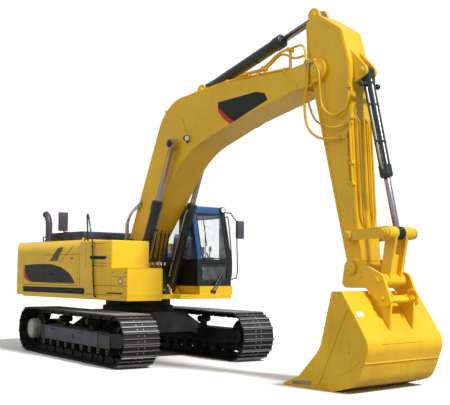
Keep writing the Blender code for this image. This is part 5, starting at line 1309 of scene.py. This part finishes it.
def cushion(name, size, crown, x, z, lean):
    """A crowned pad: soft edges, sides drawn in between the corners, and two sewn channels."""
    grid = bmesh.new()
    bmesh.ops.create_grid(grid, x_segments=28, y_segments=28, size=0.5)
    top = {vertex: (vertex.co.x * 2, vertex.co.y * 2) for vertex in grid.verts}
    under = bmesh.ops.duplicate(grid, geom=grid.verts[:] + grid.edges[:] + grid.faces[:])
    mirror = {}
    for source, copy in under["vert_map"].items():
        if source in top and isinstance(copy, bmesh.types.BMVert):
            mirror[copy] = top[source]
    length, width, thick = size

    def shaped(a, b, face):
        fall = (1 - abs(a) ** 4) * (1 - abs(b) ** 4)
        draw = WAIST * (1 - b * b) * (1 if abs(a) > 0.9 else 0) * (-1 if a > 0 else 1)
        rise = thick / 2 * fall ** 0.35
        if face > 0:
            rise += crown * (1 - a * a) * (1 - b * b)
            rise -= CHANNEL_DEPTH * sum(max(0.0, 1 - abs(b - line) / 0.05) for line in (-0.5, 0.5))
        return Vector((a * length / 2 + draw, b * width / 2, face * rise))

    for vertex, (a, b) in top.items():
        vertex.co = shaped(a, b, 1)
    for vertex, (a, b) in mirror.items():
        vertex.co = shaped(a, b, -1)
    bmesh.ops.remove_doubles(grid, verts=grid.verts, dist=0.0008)
    bmesh.ops.recalc_face_normals(grid, faces=grid.faces)
    turn = Matrix.Translation((x, SEAT_Y, z)) @ Matrix.Rotation(radians(lean), 4, "Y")
    bmesh.ops.transform(grid, matrix=turn, verts=grid.verts)
    piece = finished(name, grid, [cloth], "upper_structure", sharp=80.0)
    return piece


seat_pad = cushion("seat_cushion", (0.50, 0.49, 0.15), 0.012, -1.285, 1.80, -3.0)
cushion("seat_backrest", (0.64, 0.47, 0.12), 0.010, -1.535, 2.20, -81.0)
cushion("seat_headrest", (0.16, 0.30, 0.08), 0.008, -1.575, 2.485, -81.0)
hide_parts("seat")
dressed("consoles", [inner_trim], edge=0.012)
levers = bmesh.new()
for y in (0.695, 1.355):
    bar(levers, [(-0.98, y, 2.05), (-0.965, y, 2.13), (-0.955, y, 2.20)], 0.012, 10)
    turned(levers, [(0.0, 0.016), (0.02, 0.026), (0.08, 0.028), (0.11, 0.022), (0.125, 0.008)],
           (-0.957, y, 2.17), (0.08, 0, 1), 16)
    turned(levers, [(0.0, 0.040), (0.025, 0.036), (0.05, 0.018)], (-0.985, y, 2.02), (0.1, 0, 1), 16)
for y in (0.96, 1.09):
    bar(levers, [(-0.58, y, 1.55), (-0.60, y, 1.80), (-0.66, y, 2.02), (-0.70, y, 2.08)],
        0.011, 10, bend=3)
    turned(levers, [(0.0, 0.018), (0.10, 0.018)], (-0.70, y, 2.06), (-0.5, 0, 0.8), 12)
    prism(levers, oblong((-0.62, y - 0.045), (-0.50, y + 0.045), 0.02), 1.60, 1.612,
          lambda a, b, c: Vector((a, b, c + (a + 0.6) * 0.4)))
prism(levers, oblong((0.70, 2.10), (0.88, 2.26), 0.02), -0.60, -0.57, end_on)
bar(levers, [(-0.585, 0.79, 2.12), (-0.56, 0.72, 2.04), (-0.50, 0.66, 1.98)], 0.010, 8)
finished("levers_and_screen", levers, [rubber], "upper_structure", edge=0.002)


# ---------------------------------------------------------------------------------------------
# Front of the deck
# The slewing motor and its gearbox, the rotary joint's ports, a clamp bar that carries the boom's
# hoses with a blank white tag on each, and a yellow guard plate beside them.
# ---------------------------------------------------------------------------------------------

motor = bmesh.new()
spot = (-1.30, 0.0, 1.288)
turned(motor, [(0.0, 0.155), (0.03, 0.155), (0.034, 0.130), (0.13, 0.126), (0.134, 0.145), (0.165, 0.145),
               (0.17, 0.100), (0.27, 0.095), (0.275, 0.06)], spot, (0, 0, 1), 32)
bolt_ring(motor, (-1.30, 0.0, 1.316), (0, 0, 1), 0.142, 12, 0.011, 1)
turned(motor, [(0.0, 0.125), (0.02, 0.125), (0.024, 0.100), (0.15, 0.095), (0.155, 0.07)],
       (-0.90, 0.10, 1.288), (0, 0, 1), 28)
for number in range(6):
    angle = 2 * pi * number / 6 + 0.3
    way = Vector((cos(angle), sin(angle), 0.0))
    turned(motor, [(0.08, 0.024), (0.125, 0.024), (0.127, 0.019), (0.150, 0.019)],
           Vector((-0.90, 0.10, 1.37)), way, 8, 1)
finished("slewing_motor", motor, [dusty_black_and_hole_shade, zinc], "upper_structure", edge=0.002)

bracket = bmesh.new()
prism(bracket, oblong((-0.345, 1.955), (0.315, 1.995), 0.012), -1.115, -1.085, end_on)
prism(bracket, oblong((-0.345, 2.000), (0.315, 2.022), 0.008), -1.120, -1.080, end_on)
for y in (-0.33, 0.30):
    prism(bracket, [(-1.12, 1.285), (-1.08, 1.285), (-1.085, 1.99), (-1.115, 1.99)], y - 0.008, y + 0.008,
          side_on)
finished("hose_clamp_bar", bracket, [black], "upper_structure", edge=0.003)

guard = bmesh.new()
prism(guard, oblong((-0.335, 1.50), (-0.215, 1.745), 0.02), -1.006, -0.994, end_on)
prism(guard, oblong((-0.335, 1.288), (-0.215, 1.52), 0.004), -1.004, -0.996, end_on)
prism(guard, oblong((-0.03, 1.30), (0.04, 1.60), 0.02), -1.020, -1.012, end_on)
finished("hose_guard", guard, [yellow], "upper_structure", edge=0.003)

tags = bmesh.new()
for index, y in enumerate((-0.26, -0.17, -0.07, 0.05, 0.15, 0.25)):
    under = boom_skin.ray_cast(Vector((-0.93, y, 1.5)), Vector((0, 0, 1)))[0]
    hose(f"deck_hose_{index}",
         [(-1.02 - 0.04 * (index % 2), y * 0.8, 1.300), (-1.06, y * 0.9, 1.50), (-1.11, y, 1.75),
          (-1.103, y, 1.95), (-1.06, y, 2.12),
          under + Vector((-0.035, 0.0, -0.10)), under + Vector((0.0, 0.0, -0.012))],
         0.015, hose_rubber, "upper_structure", "boom_body")
    turned(tags, [(0.0, 0.0195), (0.055, 0.0195)], (-1.107, y, 1.875), (0.02, 0, 1), 14)
finished("hose_tags", tags, [white_film], "upper_structure")

# two grey-sleeved hoses that leave the tank bay and rise in an S beside the boom's foot
for label, lift, y, last_y in (("upper", 0.0, -0.425, -0.352), ("lower", -0.055, -0.470, -0.356)):
    hose(f"boom_foot_hose_{label}",
         [(-2.240, -0.602, 2.385 + lift), (-2.120, -0.560, 2.370 + lift),
          (-1.960, (y - 0.56) / 2 + 0.02, 2.335 + lift), (-1.790, y, 2.292 + lift),
          (-1.600, y, 2.330 + lift), (-1.490, y, 2.500 + lift), (-1.470, y, 2.780 + lift),
          (-1.332, y + 0.03, 3.004 + lift), (-1.156, last_y, 3.131 + lift)],
         0.022, sleeve_grey, "upper_structure", "boom_body")


# ---------------------------------------------------------------------------------------------
# Bucket linkage and coupler
# Forged links and a plated coupler on four greased pins, each with a bolted collar, and a hook
# ring, a cross bar and a lock bolt on the coupler.
# ---------------------------------------------------------------------------------------------

for label, joint, body, width, radius in (("idler_pin", "idler_link_tilt", "stick_body", 0.372, 0.068),
                                          ("bucket_pin", "bucket_curl", "stick_body", 0.372, 0.082)):
    for side, sign in SIDES.items():
        caps = bmesh.new()
        pin_cap(caps, (pins[joint].x, sign * width, pins[joint].z), (0, sign, 0), radius, 2, 0, 1)
        finished(f"{side}_{label}_cap", caps, [arm_yellow, zinc], body, edge=0.002)

link_pin = pins["bucket_cylinder_tilt"] + BUCKET_STROKE
eye = bmesh.new()
turned(eye, [(-0.085, 0.092), (-0.080, 0.100), (0.080, 0.100), (0.085, 0.092)], link_pin, (0, 1, 0), 32)
finished("bucket_rod_eye", eye, [rubber], "bucket_cylinder_rod", edge=0.002)
for side, sign in SIDES.items():
    caps = bmesh.new()
    way = Vector((0, sign, 0))
    pin_cap(caps, link_pin + way * (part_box("idler_links")[1].y - 0.002), way, 0.068, 2)
    finished(f"{side}_link_pin_cap", caps, [arm_yellow], "idler_link_pair", edge=0.002)

coupler_skin = surface_of("quick_coupler")
coupler = bmesh.new()
for sign in (-1, 1):
    way = Vector((0, sign, 0))
    for x, z, size in ((4.908, 1.623, 0.062), (4.60, 1.70, 0.036), (5.02, 1.36, 0.036)):
        hit = coupler_skin.ray_cast(Vector((x, sign * 2.0, z)), -way)[0]
        if hit and abs(hit.y) > 0.30:
            turned(coupler, [(-0.003, size * 1.5), (0.008, size * 1.5), (0.010, size)], hit, way, 24)
            turned(coupler, [(0.008, size), (0.030, size * 0.94)], hit, way, 6)
# the lifting eye: a ring welded to a lug on the coupler's left, and the latch's cross bar
ring = circle(5.13, 1.40, 0.085, 0.085, 24)
bar(coupler, [(x, 0.215, z) for x, z in ring + ring[:1]], 0.020, 10)
bar(coupler, [(5.02, -0.33, 1.36), (5.02, 0.33, 1.36)], 0.042, 20)
for y in (-0.16, 0.16):
    turned(coupler, [(-0.012, 0.060), (0.012, 0.060)], (5.02, y, 1.36), (0, 1, 0), 24)
finished("coupler_fittings", coupler, [arm_yellow], "bucket_body", edge=0.001)


# ---------------------------------------------------------------------------------------------
# Bucket
# Rolled and welded plate: weld beads along its seams, a rib and a bolted square plate on each
# cheek, a small blank label on the back, and a bare worn cutting lip.
# ---------------------------------------------------------------------------------------------

# ground-down steel of a cutting lip: bright scratches of 60 mm over brown-grey
worn_lip = steel("worn_lip_steel", "#8E8677", "#C2BBAA", 0.38, 60)
bucket_skin = surface_of("bucket")


def on_back(y, z):
    """The bucket's back at y and z, and the way that it faces."""
    hit = bucket_skin.ray_cast(Vector((8.0, y, z)), Vector((-1, 0, 0)))
    return hit[0], hit[1]


def laid_back(shape, outline, proud, surface=0):
    """A thin plate on the bucket's back, from its outline in y and z."""
    spots = [on_back(y, z) for y, z in outline]
    middle = sum((spot for spot, facing in spots), Vector()) / len(spots)
    facing = on_back(middle.y, middle.z)[1]
    prism(shape, [(index, 0) for index in range(len(spots))], -0.004, proud,
          lambda a, b, c: spots[int(a)][0] + facing * c, surface)


welds = bmesh.new()
trim = bmesh.new()
bar(welds, [on_back(y * 0.04, 0.45)[0] for y in range(-22, 23)], 0.012, 6)
bar(welds, [on_back(y * 0.04, 0.72)[0] for y in range(-14, 11)], 0.009, 6)
for side, sign in SIDES.items():
    lay = skin_on(0.89, sign)
    lay(trim, strip([(4.807, 1.226), (4.242, 0.075)], 0.035), 0.012, 0)
    lay(trim, oblong((4.68, 0.58), (4.86, 0.73), 0.012), 0.008, 0)
    for x in (4.70, 4.84):
        for z in (0.60, 0.71):
            turned(trim, [(0.0, 0.013), (0.010, 0.013)], (x, sign * 0.897, z), (0, sign, 0), 6, 0)
    seam = [(4.343, 0.181), (4.60, 0.235), (4.86, 0.345), (5.05, 0.491)]
    bar(welds, [(x, sign * 0.891, z) for x, z in seam], 0.006, 6, bend=6)
    lay(trim, [(3.70, 0.035), (4.10, 0.055), (4.10, 0.115), (3.72, 0.085)], 0.006, 1)
laid_back(trim, [(-0.82, 1.10), (-0.68, 1.10), (-0.68, 1.17), (-0.82, 1.17)], 0.002, 2)
finished("bucket_welds", welds, [bucket_yellow], "bucket_body")
finished("bucket_trim", trim, [bucket_yellow, worn_lip, white_film], "bucket_body",
         edge=0.002)


# ---------------------------------------------------------------------------------------------
# Engine
# One cast block under the hood, in grey primer with darker and paler patches.
# ---------------------------------------------------------------------------------------------

# engine primer: dull grey with a cast grain of 12 mm
engine_grey = cast_paint("engine_primer", "#4A4E50", "#63676A", 0.55, 12)
dressed("engine", [engine_grey], edge=0.02)


# ---------------------------------------------------------------------------------------------
# The size of the finished machine beside that of its frame
# ---------------------------------------------------------------------------------------------

low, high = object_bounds()
